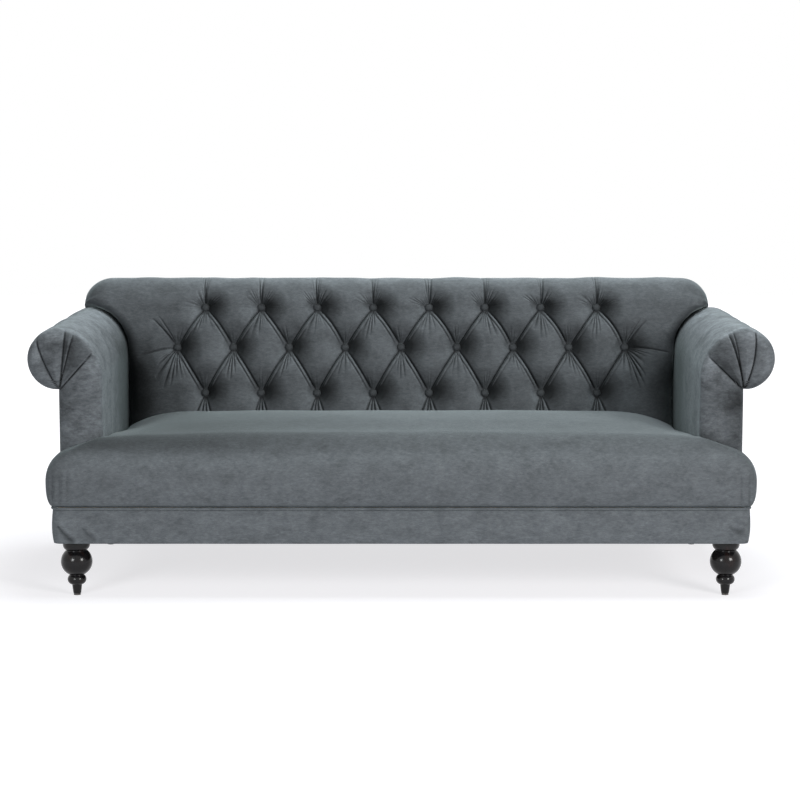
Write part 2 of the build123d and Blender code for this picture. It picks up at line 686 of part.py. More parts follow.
def arms():
    """Both arms: cover, foam, former, boards, rails and outside panel."""
    f0, f1 = board_span("front")
    r0, r1 = board_span("rear")
    core = ARM_PAD + GAP + 0.7
    slab = prism_x(outside_outline(GAP), ARM_OUTER - PANEL_T - GAP, ARM_OUTER + 2)
    cover = arm_body(0) - arm_body(COVER_T) - slab
    hollow = arm_slice(f0 - GAP, ARM_REAR + 1, ARM_PAD, ARM_OUTER - 1)
    foam = arm_body(COVER_T + GAP) - hollow - slab
    former = arm_slice(f1 + GAP, r0 - GAP, core, SIDE_FACE - 1)
    former = former - arm_slice(f1, r0, core + FORMER_T, SIDE_FACE + FORMER_T + 1)
    wall = ARM_INNER + core + FORMER_T + 1
    outer_wall = block(wall, SIDE_FACE + 1, f0, r1, ARM_BOTTOM - 5, scroll_bottom(ARM_STRAIGHT))
    former = former - outer_wall
    panel = prism_x(outside_outline(0), ARM_OUTER - PANEL_T, ARM_OUTER)
    front_board = arm_slice(f0, f1, core, SIDE_FACE - 3)
    rear_board = arm_slice(r0, r1, core, SIDE_FACE - 3)
    inner = ARM_INNER + core + FORMER_T + GAP
    cx, cz, _ = scroll_centre(ARM_REAR)
    reach = scroll_r(ARM_REAR) - core - 10
    top_rail = block(cx - reach, cx + reach, f1, r0, cz - 15, cz + 15)
    low = RAIL_TOP + INNER_RAIL_UP
    inner_rail = block(inner, inner + RAIL_T, f1, r0, low, low + ARM_RAIL_W)
    low = RAIL_TOP + OUTER_RAIL_UP
    outer_rail = block(SIDE_INNER, SIDE_FACE, f1, r0, low, low + ARM_RAIL_W)
    holes = [post_dowel(place, FIT) for place in post_dowel_places()]
    for side, word in SIDES:
        save(f"{word}_arm_cover", *[mirrored(s, side) for s in cover.solids()])
        save(f"{word}_arm_foam", *[mirrored(s, side) for s in foam.solids()])
        save(f"{word}_arm_former", *[mirrored(s, side) for s in former.solids()])
        save(f"{word}_outside_arm_panel", mirrored(panel, side))
        save(f"{word}_arm_front_board", drilled(mirrored(front_board, side), holes))
        save(f"{word}_arm_rear_board", drilled(mirrored(rear_board, side), holes))
        save(f"{word}_arm_rails", *[mirrored(rail, side) for rail in (top_rail, inner_rail, outer_rail)])


# Back: stations up the front face and over the roll

def up_face(z):
    """Crest point and outward normal at a height on the straight face."""
    return (lean_y(z), z), (-math.cos(LEAN), math.sin(LEAN))


def round_roll(turn):
    """Crest point and outward normal at a turn, in degrees, round the roll."""
    a = math.radians(turn)
    normal = (-math.cos(a), math.sin(a))
    return (ROLL_Y + ROLL_R * normal[0], ROLL_Z + ROLL_R * normal[1]), normal


def half_width(z):
    """Half width of the back: between the arms, then over their shoulders."""
    low = z - 14
    if low < SHOULDER_Z:
        return ARM_INNER - 1
    rise = min(low, ARM_TOP - 4) - SHOULDER_Z
    return SHOULDER_X - math.sqrt(SHOULDER_R ** 2 - rise ** 2) - 5


def stations():
    """Every cross-section of the tufted back, from the seat to the tuck behind the roll.

    Each has its place, its share of the way from a short row to the long row,
    the depth of its pleats, the depth of the fading end pleats and the foam's depth.
    """
    bottom, middle, top = ROW_Z
    e = SEAT_OF_BUTTON
    deep = FRAME_DEPTH - 5
    found = []

    def face(z, share, depth, end_depth, foam=deep):
        point, normal = up_face(z)
        found.append((point, normal, half_width(z), share, depth, end_depth, foam))

    face(BACK_BOTTOM, 0.0, PLEAT * 0.5, 1.0)
    face((BACK_BOTTOM + bottom) / 2, 0.0, PLEAT * 0.8, 1.0)
    face(bottom - e, 0.0, DIMPLE, 3.0)
    face(bottom + e, 0.0, DIMPLE, 5.0)
    for share in (0.3, 0.5, 0.7):
        z = bottom + e + (middle - bottom - 2 * e) * share
        face(z, share, pleat_depth(share), PLEAT * share)
    face(middle - e, 1.0, DIMPLE, DIMPLE)
    face(middle + e, 1.0, DIMPLE, DIMPLE)
    for share in (0.7, 0.5, 0.3):
        z = middle + e + (top - middle - 2 * e) * (1 - share)
        face(z, share, pleat_depth(share), PLEAT * share)
    face(top - e, 0.0, DIMPLE, 4.0)
    face(ROLL_START, 0.0, DIMPLE, 3.0, ROLL_R * 0.85)
    spread = math.degrees((top + e - ROLL_START) / ROLL_R)
    turns = [BACK_LEAN + max(2.0, spread), 32.0, 56.0, 80.0, 104.0, 130.0, 158.0, 186.0, 210.0, ROLL_END]
    depths = [DIMPLE, PLEAT, PLEAT * 0.8, PLEAT * 0.6, PLEAT * 0.4, PLEAT * 0.2, 2.0, 1.0, 1.0, 1.0]
    foams = [ROLL_R * 0.7] + [ROLL_PAD - 4] * (len(turns) - 1)
    for turn, depth, foam in zip(turns, depths, foams):
        point, normal = round_roll(turn)
        found.append((point, normal, BACK_HALF, 0.0, depth, 2.0, foam))
    return found


def pleat_depth(share):
    """Depth of a slanting pleat: deepest at the buttons at its two ends."""
    return PLEAT + (DIMPLE - PLEAT) * abs(2 * share - 1) ** 2


def puff(p, q, flat):
    """Arc of padding between two pleats, or a nearly flat button seat."""
    width = q[0] - p[0]
    floor = (p[1] + q[1]) / 2
    room = -max(p[1], q[1]) + abs(p[1] - q[1]) / 4
    rise = 0.4 if flat else min(room, 0.28 * width) + 0.3
    return (p, ((p[0] + q[0]) / 2, floor + rise), q)


def back_curve(station, inset):
    """The padded front of one cross-section as arcs of (x, height over the crest)."""
    _, _, wide, share, depth, end_depth, _ = station
    e = SEAT_OF_BUTTON
    reach = e + (HALF_PITCH - 2 * e) * share
    end = LONG_ROW[-1] + e + (HALF_PITCH / 2 - e) * (1 - share)
    xe = wide - END_ROUND
    crest = end_depth * 0.3 - 0.3
    knots = [(-end, -end_depth)]
    for x in SHORT_ROW:
        knots += [(x - reach, -depth), (x + reach, -depth)]
    knots.append((end, -end_depth))
    curve = [((-xe, 0), ((-xe - end) / 2, -crest), knots[0])]
    for i, (p, q) in enumerate(zip(knots, knots[1:])):
        short_seat = i % 2 == 1 and share == 0.0
        long_seat = i % 2 == 0 and share == 1.0
        curve.append(puff(p, q, short_seat or long_seat))
    curve.append((knots[-1], ((xe + end) / 2, -crest), (xe, 0)))
    curve = [tuple((x, h - inset) for x, h in piece) for piece in curve]
    inner_r = END_ROUND - inset
    k = inner_r * math.sqrt(0.5)
    left_end = ((-xe - inner_r, -END_ROUND), (-xe - k, -END_ROUND + k), (-xe, -inset))
    right_end = tuple((-x, h) for x, h in reversed(left_end))
    return [left_end, *curve, right_end]


def station_place(station):
    """Function that puts (x, height) of a cross-section in space."""
    (y, z), (ny, nz) = station[0], station[1]
    return lambda p: (p[0], y + p[1] * ny, z + p[1] * nz)


def cover_wire(station):
    """Closed section of the velvet at a station."""
    outer = back_curve(station, 0)
    inner = [(q, m, p) for p, m, q in reversed(back_curve(station, COVER_T))]
    ends = [(outer[-1][2], None, inner[0][0]), (inner[-1][2], None, outer[0][0])]
    return Wire(placed(outer + ends[:1] + inner + ends[1:], station_place(station)))


def foam_wire(station):
    """Closed section of the foam at a station."""
    outer = back_curve(station, COVER_T + GAP)
    depth = station[6]
    inside = station[2] - END_ROUND - 10
    right = outer[-1][2]
    left = outer[0][0]
    under = -END_ROUND - 1
    corners = [right, (inside, under), (inside, -depth), (-inside, -depth), (-inside, under), left]
    return Wire(placed(outer + joined(corners), station_place(station)))


def button_places():
    """Each button seat as (x, point, normal)."""
    places = []
    for z, row in zip(ROW_Z, (SHORT_ROW, LONG_ROW, SHORT_ROW)):
        (y, _), (ny, nz) = up_face(z)
        seat_point = (y - DIMPLE * ny, z - DIMPLE * nz)
        places.append([(x, seat_point, (ny, nz)) for x in row])
    return places


def along(place, near, far, radius):
    """A cylinder on a button's axis between two depths behind its seat."""
    x, (y, z), (ny, nz) = place
    axis = Plane(origin=(x, y - near * ny, z - near * nz), z_dir=(0, -ny, -nz))
    return axis * Pos(0, 0, (far - near) / 2) * Cylinder(radius, far - near)


def button_shape(place):
    """A covered button: flat back, short wall and domed front."""
    x, (y, z), (ny, nz) = place
    wall = BUTTON_H * 0.35
    dome = BUTTON_H - wall
    ball = (BUTTON_R ** 2 + dome ** 2) / (2 * dome)
    half_angle = math.asin(BUTTON_R / ball) / 2
    bulge = (ball * math.sin(half_angle), BUTTON_H - ball + ball * math.cos(half_angle))
    with BuildSketch(Plane.XZ) as sketch:
        with BuildLine():
            Line((0, 0), (BUTTON_R, 0))
            Line((BUTTON_R, 0), (BUTTON_R, wall))
            ThreePointArc((BUTTON_R, wall), bulge, (0, BUTTON_H))
            Line((0, BUTTON_H), (0, 0))
        make_face()
    solid = revolve(sketch.sketch, Axis.Z)
    lift = BUTTON_LIFT
    return Plane(origin=(x, y + lift * ny, z + lift * nz), z_dir=(0, ny, nz)) * solid


def lean_strip(x0, x1, z0, z1, near, far):
    """A flat strip parallel to the back's face, between two depths behind the crest."""
    corners = []
    for z, depth in ((z0, near), (z1, near), (z1, far), (z0, far)):
        (y, _), (ny, nz) = up_face(z)
        corners.append((y - depth * ny, z - depth * nz))
    return prism_x(corners, x0, x1)


def upholstered_back():
    """Velvet, foam and hessian of the back, with every button, twine and peg."""
    rows = button_places()
    every = [place for row in rows for place in row]
    sections = stations()
    holes = [along(place, -12, FRAME_DEPTH, TWINE_HOLE_R) for place in every]
    cover = Solid.make_loft([cover_wire(s) for s in sections], ruled=True)
    foam = Solid.make_loft([foam_wire(s) for s in sections], ruled=True)
    save("back_cover", cover.cut(*holes))
    save("back_foam", foam.cut(*holes))
    for name, row in zip(("bottom_row_buttons", "middle_row_buttons", "top_row_buttons"), rows):
        save(name, *[button_shape(place) for place in row])
    save("button_twines", *[along(place, 0, PEG_NEAR, TWINE_R) for place in every])
    save("twine_pegs", *[along(place, PEG_NEAR, PEG_NEAR + PEG_L, PEG_R) for place in every])
    half = ARM_INNER - 20
    near = FRAME_DEPTH - 5 + GAP
    hessian = lean_strip(-half, half, BACK_BOTTOM + 10, ROW_Z[2] - 24, near, near + 1)
    save("back_hessian", hessian.cut(*[along(p, -1, FRAME_DEPTH, TWINE_HOLE_R) for p in every]))


# Back frame

def plane_y(z):
    """Front plane of the back frame at a height."""
    return lean_y(z) + FRAME_DEPTH / math.cos(LEAN)


def post_span():
    """Inner and outer faces of a back post."""
    inner = ARM_INNER - 1 - POST_T
    return inner, inner + POST_T


def post_outline():
    """Side outline of a post or stile, raked in front."""
    rear = REAR_FACE - 10
    return [(plane_y(RAIL_TOP), RAIL_TOP), (REAR_FACE, RAIL_TOP), (rear, RAIL_TOP + 60),
            (rear, TOP_RAIL_Z), (plane_y(TOP_RAIL_Z), TOP_RAIL_Z)]


def back_frame():
    """Posts, stiles and rails of the back, then the roll and the webbing on them."""
    pegs = [along(p, PEG_NEAR - 20, PEG_NEAR + PEG_L + FIT, PEG_R + FIT) for p in button_places()[2]]
    holes = [post_dowel(place, FIT) for place in post_dowel_places()]
    inner, outer = post_span()
    for side, word in SIDES:
        x0, x1 = sorted((side * inner, side * outer))
        save(f"{word}_back_post", drilled(prism_x(post_outline(), x0, x1), holes))
    half = POST_T / 2
    stiles = [prism_x(post_outline(), s * STILE_X - half, s * STILE_X + half) for s in (-1, 1)]
    save("back_stiles", *[drilled(stile, holes) for stile in stiles])
    z0, z1 = LOWER_RAIL_Z, LOWER_RAIL_Z + LOWER_RAIL_H
    near, far = FRAME_DEPTH, FRAME_DEPTH + RAIL_T
    spans = [(-inner, -STILE_X - half), (-STILE_X + half, STILE_X - half), (STILE_X + half, inner)]
    save("back_lower_rails", *[lean_strip(a, b, z0, z1, near, far) for a, b in spans])
    reach = BACK_HALF - END_ROUND - 12
    y0 = plane_y(TOP_RAIL_Z) + 1
    y1 = y0 + RAIL_T
    top = ROLL_Z + math.sqrt(FORMER_IN ** 2 - (y1 - ROLL_Y) ** 2) - RAIL_CLEAR
    rail = block(-reach, reach, y0, y1, TOP_RAIL_Z, top)
    save("back_top_rail", drilled(rail, pegs))
    back_roll(reach, y0)
    webbing(inner, half)


def back_roll(reach, rail_face):
    """Ribs on the top rail and the bent former over them."""
    rib_r = FORMER_IN - GAP

    def tube(radius, x0, x1):
        return Pos((x0 + x1) / 2, ROLL_Y, ROLL_Z) * Rot(0, 90, 0) * Cylinder(radius, x1 - x0)

    def ray(turn, length):
        a = math.radians(turn)
        return (ROLL_Y - length * math.cos(a), ROLL_Z + length * math.sin(a))

    fan = [(ROLL_Y, ROLL_Z)] + [ray(turn, ROLL_R * 2) for turn in (36, 90, 140, 200)]
    former = tube(FORMER_OUT, -reach, reach) - tube(FORMER_IN, -reach - 1, reach + 1)
    save("back_roll_former", former & prism_x(fan, -reach, reach))
    far = ROLL_R
    foot = ROLL_Z + ROLL_R * 0.235
    wedge = [ray(40, far), ray(90, far), (rail_face, ROLL_Z + far), (rail_face, foot)]
    half = RIB_T / 2
    ribs = []
    for x in (-STILE_X * 3, -STILE_X, STILE_X, STILE_X * 3):
        ribs.append(tube(rib_r, x - half, x + half) & prism_x(wedge, x - half, x + half))
    save("back_roll_ribs", *ribs)


def webbing(inner, half):
    """Upright straps on the rails and level straps over them."""
    near = FRAME_DEPTH - WEB_T
    reach = WEB_W / 2
    uprights = []
    for n in (1.5, 3.5, 5.5, 7.5):
        for s in (-1, 1):
            x = s * n * HALF_PITCH
            strip = lean_strip(x - reach, x + reach, LOWER_RAIL_Z, TOP_RAIL_Z + 12, near, FRAME_DEPTH)
            uprights.append(strip)
    save("back_upright_webbing", *uprights)
    level = []
    for low, high in zip(ROW_Z, ROW_Z[1:]):
        z = (low + high) / 2
        strip = lean_strip(-inner - half, inner + half, z - reach, z + reach, near - WEB_T, near)
        level.append(strip)
    save("back_level_webbing", *level)


def outside_back():
    """Velvet-covered panel that closes the back."""
    low = RAIL_Z - 2 * GAP
    panel = block(-ARM_OUTER, ARM_OUTER, BASE_REAR - PANEL_T, BASE_REAR, low, outside_back_top())
    save("outside_back_panel", panel)


def outside_back_top():
    """Just under the padding where the roll tucks in behind."""
    a = math.radians(ROLL_END)
    radius = (BASE_REAR - ROLL_Y) / -math.cos(a)
    return ROLL_Z + radius * math.sin(a) - 1


def main():
    """Build and write every piece."""
    os.makedirs("parts", exist_ok=True)
    base_rails()
    cross_rails()
    corner_blocks()
    legs()
    dust_cover()
    base_border()
    base_welt()
    seat()
    springs()
    arms()
    upholstered_back()
    back_frame()
    outside_back()


main()
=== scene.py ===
import bmesh
import bpy
import itertools
import json
import math
import numpy as np
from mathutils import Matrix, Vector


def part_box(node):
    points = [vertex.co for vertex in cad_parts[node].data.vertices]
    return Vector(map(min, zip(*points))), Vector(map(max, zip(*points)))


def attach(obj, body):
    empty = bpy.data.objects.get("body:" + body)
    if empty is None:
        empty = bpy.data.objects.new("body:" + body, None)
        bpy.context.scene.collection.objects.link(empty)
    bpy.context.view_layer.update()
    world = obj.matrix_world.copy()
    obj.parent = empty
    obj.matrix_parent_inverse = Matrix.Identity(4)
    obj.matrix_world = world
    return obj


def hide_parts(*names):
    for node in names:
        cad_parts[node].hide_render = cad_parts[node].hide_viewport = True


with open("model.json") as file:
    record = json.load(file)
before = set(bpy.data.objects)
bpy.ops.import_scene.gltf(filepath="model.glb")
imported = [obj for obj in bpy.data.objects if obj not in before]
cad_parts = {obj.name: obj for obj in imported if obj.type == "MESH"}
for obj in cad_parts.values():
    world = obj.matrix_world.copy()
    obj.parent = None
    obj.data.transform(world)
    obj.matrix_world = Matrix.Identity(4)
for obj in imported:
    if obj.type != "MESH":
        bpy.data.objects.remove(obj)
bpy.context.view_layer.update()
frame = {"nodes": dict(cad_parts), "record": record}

# A scroll-arm sofa in dark grey velvet: the looks. Metres, in the construction's frame.
# X runs along the sofa, Y to the back, Z up; the floor is Z = 0.

# Base and legs
BASE_HALF = 0.892
BASE_FRONT = -0.419
BASE_REAR = 0.390
BASE_LOW = 0.145
BORDER_TOP = 0.2325
BORDER_R = 0.024
BORDER_LAP = 0.0035        # border carried up behind the welt
BORDER_HEM = 0.014         # border turned under the base
WELT_R = 0.0034
WELT_Z = 0.2362
LEG_X = 0.839
LEG_FRONT_Y = -0.358
LEG_REAR_Y = 0.328
GLIDE_T = 0.004
LEG_H = 0.140

# Seat
SEAT_Z = 0.2399
NOSE_Z = 0.300
SEAT_FRONT = -0.433
SEAT_HALF = 0.9065
EAR_BULGE = 0.0075         # ears at the nose beyond the seat at the seam
NOSE_DEPTH = 0.150         # nose to the start of the deck
EAR_DEPTH = 0.112          # the same in front of the arms
NOSE_POWER = 4.6           # squareness of the ears' corners at the nose and at the seam
SEAM_POWER = 11.0
EAR_DROOP = 0.42           # share of its height that an ear loses before it rounds over
NOSE_TUCK = 0.0155         # nose beyond the seam under it
SEAT_HEM = 0.022           # cover turned in under the seat
SEAT_EDGE = 0.417
SEAT_CROWN = 0.424
SEAT_SIDE = 0.407
SEAT_REAR = 0.406
CROWN_Y = -0.080
DECK_HALF = 0.773
DECK_DROOP = 0.050         # fall of the deck into its rear corners
DECK_REAR = 0.2105

# Arms
ARM_OUTER = 0.886
ARM_INNER = 0.774
ARM_FRONT = -0.320
ARM_STRAIGHT = -0.290
ARM_REAR = 0.337
ARM_TOP = 0.687
ARM_BOTTOM = 0.230
ARM_ROUND = 0.026
INNER_SOFT = 1.6           # how much wider the rounding is on the inner side
SCROLL_R = 0.080
SCROLL_REAR_R = 0.066
SCROLL_TURN = math.radians(21.5)
SCROLL_EYE = (0.876, 0.607)   # x and z of the middle of the scroll's front
REAR_ROUND = 0.010
SHOULDER_R = (ARM_OUTER - ARM_INNER - SCROLL_R * math.sin(SCROLL_TURN)) / (1 - math.sin(SCROLL_TURN))
SHOULDER_X = ARM_INNER + SHOULDER_R
SHOULDER_Z = ARM_TOP - SCROLL_R - (SHOULDER_R - SCROLL_R) * math.cos(SCROLL_TURN)

# Back
BACK_TOP = 0.769
ROLL_LEFT = 0.904          # ends of the roll, the right one pulled in a little
ROLL_RIGHT = 0.878
LEAN = math.radians(10.5)
ROLL_R = 0.085
ROLL_Y = 0.349
ROLL_Z = BACK_TOP - ROLL_R
ROLL_TURN = math.radians(232) - LEAN
ROLL_START_Y = ROLL_Y - ROLL_R * math.cos(LEAN)
ROLL_START_Z = ROLL_Z + ROLL_R * math.sin(LEAN)
BACK_LOW = 0.300
ROLL_END_ROUND = 0.080
FACE_END_ROUND = 0.034
FOOT_END_ROUND = 0.088
FLAT_HALF = 0.660          # the part of the sheet between its soft ends
FLAT_COLUMNS = 880
PITCH = 0.1585
ROW_Z = (0.4559, 0.5833, 0.6949)
DIMPLE = 0.038
PLEAT = 0.016
BUTTON_R = 0.0108
BUTTON_H = 0.008
BUTTON_LIFT = 0.0011       # back of a button over the bottom of its dimple
SHORT_ROW = [(i - 3.5) * PITCH for i in range(8)]
LONG_ROW = [(i - 4.0) * PITCH for i in range(9)]

# Outside panels
PANEL_T = 0.0036
PANEL_TOP = 0.631
TAB_TOP = 0.624            # tab of an outside arm panel, under the roll
EDGE_DROP = 0.003          # soft edge of a covered panel
EDGE_REACH = 0.006

# Fineness of the seat's mesh
EAR_COLUMNS = 44
NOSE_COLUMNS = 261
DECK_ROWS = 72


# Small tools for meshes

def grid_faces(rows, cols, wrap=False, first=0):
    """Quads of a grid of points, row after row."""
    row = np.arange(rows - 1)[:, None] * cols
    col = np.arange(cols if wrap else cols - 1)[None, :]
    after = (col + 1) % cols
    quads = np.stack([row + col, row + after, row + cols + after, row + cols + col], axis=-1)
    return (quads.reshape(-1, 4) + first).tolist()


def flipped(faces):
    """Faces that look the other way."""
    return [face[::-1] for face in faces]


def spread(x, y, z):
    """Points from three coordinates, each spread over the shape of the others."""
    return np.stack(np.broadcast_arrays(x, y, z), axis=-1)


def with_strips(points, faces, strips):
    """Points and faces with strips of two columns added to them."""
    for strip in strips:
        faces = faces + grid_faces(len(strip) // 2, 2, first=len(points))
        points = np.concatenate([points, strip])
    return points, faces


def add_object(name, data):
    """A new object in the scene."""
    new = bpy.data.objects.new(name, data)
    bpy.context.scene.collection.objects.link(new)
    return new


def make_piece(name, verts, faces, material, nodes, painted_shade=None):
    """A smooth mesh piece that rides on the sofa and stands for its construction nodes.

    The last argument is the painted shade at each point, up to 1, or below 0 where a highlight is painted.
    """
    mesh = bpy.data.meshes.new(name)
    mesh.from_pydata(np.asarray(verts, dtype=float).reshape(-1, 3).tolist(), [], faces)
    mesh.validate()
    mesh.polygons.foreach_set("use_smooth", np.ones(len(mesh.polygons), dtype=bool))
    mesh.materials.append(material)
    if painted_shade is not None:
        values = mesh.attributes.new("painted_shade", "FLOAT", "POINT").data
        values.foreach_set("value", np.ravel(painted_shade).astype(np.float32))
    mesh.update()
    piece = add_object(name, mesh)
    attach(piece, "root")
    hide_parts(*nodes)
    return piece


def weld(piece, gap):
    """Join points that meet, so that the shading runs on across them."""
    work = bmesh.new()
    work.from_mesh(piece.data)
    bmesh.ops.remove_doubles(work, verts=work.verts, dist=gap)
    work.to_mesh(piece.data)
    work.free()
    piece.data.update()


def smoothstep(low, high, value):
    """0 below low, 1 above high, and a soft rise between."""
    share = np.clip((value - low) / (high - low), 0, 1)
    return share * share * (3 - 2 * share)


def nearness(distance, reach):
    """1 at no distance, falling evenly to 0 at a reach."""
    return np.clip(1 - distance / reach, 0, 1)


def hump(value, middle, width):
    """1 in the middle, with a bell's soft fall to both sides."""
    return np.exp(-((value - middle) / width) ** 2)


def waves(a, b, size, count, seed):
    """Soft unevenness over two coordinates, about -1 to 1, with bumps of about that size."""
    pick = np.random.default_rng(seed)
    total = np.zeros(np.broadcast(a, b).shape)
    for _ in range(count):
        way = pick.uniform(0, 2 * math.pi)
        pace = 2 * math.pi / (size * pick.uniform(0.7, 1.6))
        total += np.sin(pace * (a * math.cos(way) + b * math.sin(way)) + pick.uniform(0, 2 * math.pi))
    return total / math.sqrt(count * 2)


def lathe(profile, turns):
    """Points and faces of an outline (radius, height) turned about Z."""
    angles = np.linspace(0, 2 * math.pi, turns, endpoint=False)
    rings = [[(r * math.cos(a), r * math.sin(a), z) for a in angles] for r, z in profile]
    return np.array(rings).reshape(-1, 3), grid_faces(len(profile), turns, wrap=True)


# Materials

NAP = (0.098, 0.107, 0.113)


def scaled(colour, share):
    """A colour made darker or lighter."""
    return tuple(value * share for value in colour)


def add_node(tree, kind, inputs, **settings):
    """A new shader node with its settings and inputs; an input is a value or another node's output."""
    new = tree.nodes.new("ShaderNode" + kind)
    for name, value in settings.items():
        setattr(new, name, value)
    for name, value in inputs.items():
        if isinstance(value, bpy.types.NodeSocket):
            tree.links.new(value, new.inputs[name])
        else:
            new.inputs[name].default_value = value
    return new


def empty_tree(owner):
    """The emptied node tree of a material or world."""
    owner.use_nodes = True
    owner.node_tree.nodes.clear()
    return owner.node_tree


def new_material(name):
    """A node material with a principled shader; returns it with its tree and shader."""
    material = bpy.data.materials.new(name)
    tree = empty_tree(material)
    shader = add_node(tree, "BsdfPrincipled", {})
    add_node(tree, "OutputMaterial", {"Surface": shader.outputs["BSDF"]})
    return material, tree, shader


def object_coords(tree, stretch):
    """Object coordinates, stretched along the axes."""
    coords = add_node(tree, "TexCoord", {})
    inputs = {"Scale": stretch, "Vector": coords.outputs["Object"]}
    return add_node(tree, "Mapping", inputs).outputs["Vector"]


def noise(tree, scale, detail=3.0, rough=0.55, twist=0.0, stretch=(1, 1, 1)):
    """Output of a noise texture over stretched object coordinates."""
    vector = object_coords(tree, stretch)
    inputs = {"Vector": vector, "Scale": scale, "Detail": detail, "Roughness": rough, "Distortion": twist}
    return add_node(tree, "TexNoise", inputs).outputs["Fac"]


def ramp(tree, value, stops):
    """Colours along a value, from (place, colour) stops."""
    new = add_node(tree, "ValToRGB", {"Fac": value})
    line = new.color_ramp
    for element, (place, colour) in zip(line.elements, (stops[0], stops[-1])):
        element.position = place
        element.color = (*colour, 1)
    for place, colour in stops[1:-1]:
        line.elements.new(place).color = (*colour, 1)
    return new.outputs["Color"]


def mix(tree, kind, share, first, second):
    """Two colours mixed; the share is a number or an output."""
    inputs = {"Factor": share, "A": first, "B": second}
    return add_node(tree, "Mix", inputs, data_type="RGBA", blend_type=kind).outputs["Result"]


def remap(tree, value, low, high):
    """A value from 0 to 1 spread between two numbers, and on beyond them."""
    inputs = {"Value": value, "To Min": low, "To Max": high}
    return add_node(tree, "MapRange", inputs, clamp=False).outputs["Result"]


def bump(tree, shader, layers):
    """Bump layers as (height, distance, strength), the coarsest first."""
    below = {}
    for height, distance, strength in layers:
        inputs = {"Height": height, "Distance": distance, "Strength": strength, **below}
        below = {"Normal": add_node(tree, "Bump", inputs).outputs["Normal"]}
    tree.links.new(below["Normal"], shader.inputs["Normal"])


def paint(tree, shader, colour, rough):
    """Link a colour and a roughness to a shader."""
    tree.links.new(colour, shader.inputs["Base Color"])
    tree.links.new(rough, shader.inputs["Roughness"])


def velvet(name, mottle, sheen):
    """Dark slate velvet: combed nap, fine pile and a soft sheen; mottle sets how patchy the nap is; painted
    shade and highlight from each piece darken or lighten its colour.
    """
    material, tree, shader = new_material(name)
    patches = noise(tree, 17.0, 6.0, 0.70, 0.25, stretch=(1.0, 1.0, 1.3))
    nap_and_painted_light = noise(tree, 70.0, 4.0, 0.62, 0.1, stretch=(1.0, 1.0, 2.2))
    streaks = noise(tree, 120.0, 3.0, 0.6, stretch=(1.0, 1.0, 7.0))
    pile = noise(tree, 1400.0, 2.0, 0.6)
    dark, light = scaled(NAP, 1 - 0.42 * mottle), scaled(NAP, 1 + 0.34 * mottle)
    colour = ramp(tree, patches, [(0.34, dark), (0.5, NAP), (0.68, light)])
    for value, strength in ((nap_and_painted_light, 0.35 + 0.5 * mottle), (streaks, 0.55), (pile, 0.6)):
        tone = ramp(tree, value, [(0.30, (0.36, 0.36, 0.37)), (0.70, (0.64, 0.64, 0.64))])
        colour = mix(tree, "OVERLAY", strength, colour, tone)
    # The painted shade attribute darkens the colour, and lightens it as a painted highlight where it is
    # below 0.
    painted_shade_value = add_node(tree, "Attribute", {}, attribute_name="painted_shade").outputs["Fac"]
    colour = mix(tree, "MULTIPLY", 1.0, colour, remap(tree, painted_shade_value, 1.0, 0.10))
    paint(tree, shader, colour, remap(tree, patches, 0.75, 0.95))
    shader.inputs["Specular IOR Level"].default_value = 0.15
    shader.inputs["Sheen Weight"].default_value = sheen
    shader.inputs["Sheen Roughness"].default_value = 0.36
    shader.inputs["Sheen Tint"].default_value = (0.77, 0.93, 0.95, 1)
    bump(tree, shader, [(patches, 0.003, 0.25 * mottle + 0.1), (nap_and_painted_light, 0.0014, 0.35),
                        (streaks, 0.0008, 0.3), (pile, 0.0005, 0.35)])
    return material


def lacquer():
    """Black lacquer on turned wood, with a hint of red-brown grain under it."""
    material, tree, shader = new_material("black_lacquer")
    grain = noise(tree, 1.0, 4.0, 0.6, 0.5, stretch=(60.0, 60.0, 9.0))
    orange_peel = noise(tree, 420.0, 2.0)
    colour = ramp(tree, grain, [(0.35, (0.005, 0.005, 0.006)), (0.6, (0.007, 0.006, 0.006)),
                                (0.8, (0.016, 0.007, 0.006))])
    paint(tree, shader, colour, remap(tree, grain, 0.14, 0.22))
    shader.inputs["Specular IOR Level"].default_value = 0.20
    shader.inputs["Coat Weight"].default_value = 0.12
    shader.inputs["Coat Roughness"].default_value = 0.06
    bump(tree, shader, [(grain, 0.0006, 0.12), (orange_peel, 0.0003, 0.06)])
    return material


def hardwood():
    """Plain sawn beech of the frame."""
    material, tree, shader = new_material("hardwood")
    rings = noise(tree, 1.5, 5.0, 0.6, 0.8, stretch=(2.2, 40.0, 40.0))
    fibres = noise(tree, 1.0, 2.0, stretch=(12.0, 420.0, 420.0))
    colour = ramp(tree, rings, [(0.3, (0.44, 0.29, 0.16)), (0.55, (0.56, 0.40, 0.25)),
                                (0.8, (0.64, 0.48, 0.31))])
    paint(tree, shader, colour, remap(tree, fibres, 0.55, 0.8))
    bump(tree, shader, [(rings, 0.001, 0.2), (fibres, 0.0006, 0.4)])
    return material


def lining_board():
    """Grey-brown pressed board."""
    material, tree, shader = new_material("lining_board")
    flecks = noise(tree, 320.0, 4.0, 0.7)
    button_shade = noise(tree, 22.0, 3.0)
    colour = ramp(tree, flecks, [(0.3, (0.36, 0.28, 0.18)), (0.7, (0.55, 0.45, 0.32))])
    paint(tree, shader, colour, remap(tree, button_shade, 0.8, 0.95))
    bump(tree, shader, [(flecks, 0.0006, 0.5)])
    return material


def foam():
    """Cut cream foam with open cells."""
    material, tree, shader = new_material("foam")
    cells = noise(tree, 700.0, 2.0, 0.7)
    age = noise(tree, 9.0, 3.0)
    colour = ramp(tree, age, [(0.3, (0.80, 0.74, 0.55)), (0.7, (0.88, 0.85, 0.70))])
    paint(tree, shader, colour, remap(tree, cells, 0.85, 1.0))
    bump(tree, shader, [(cells, 0.001, 0.8)])
    return material


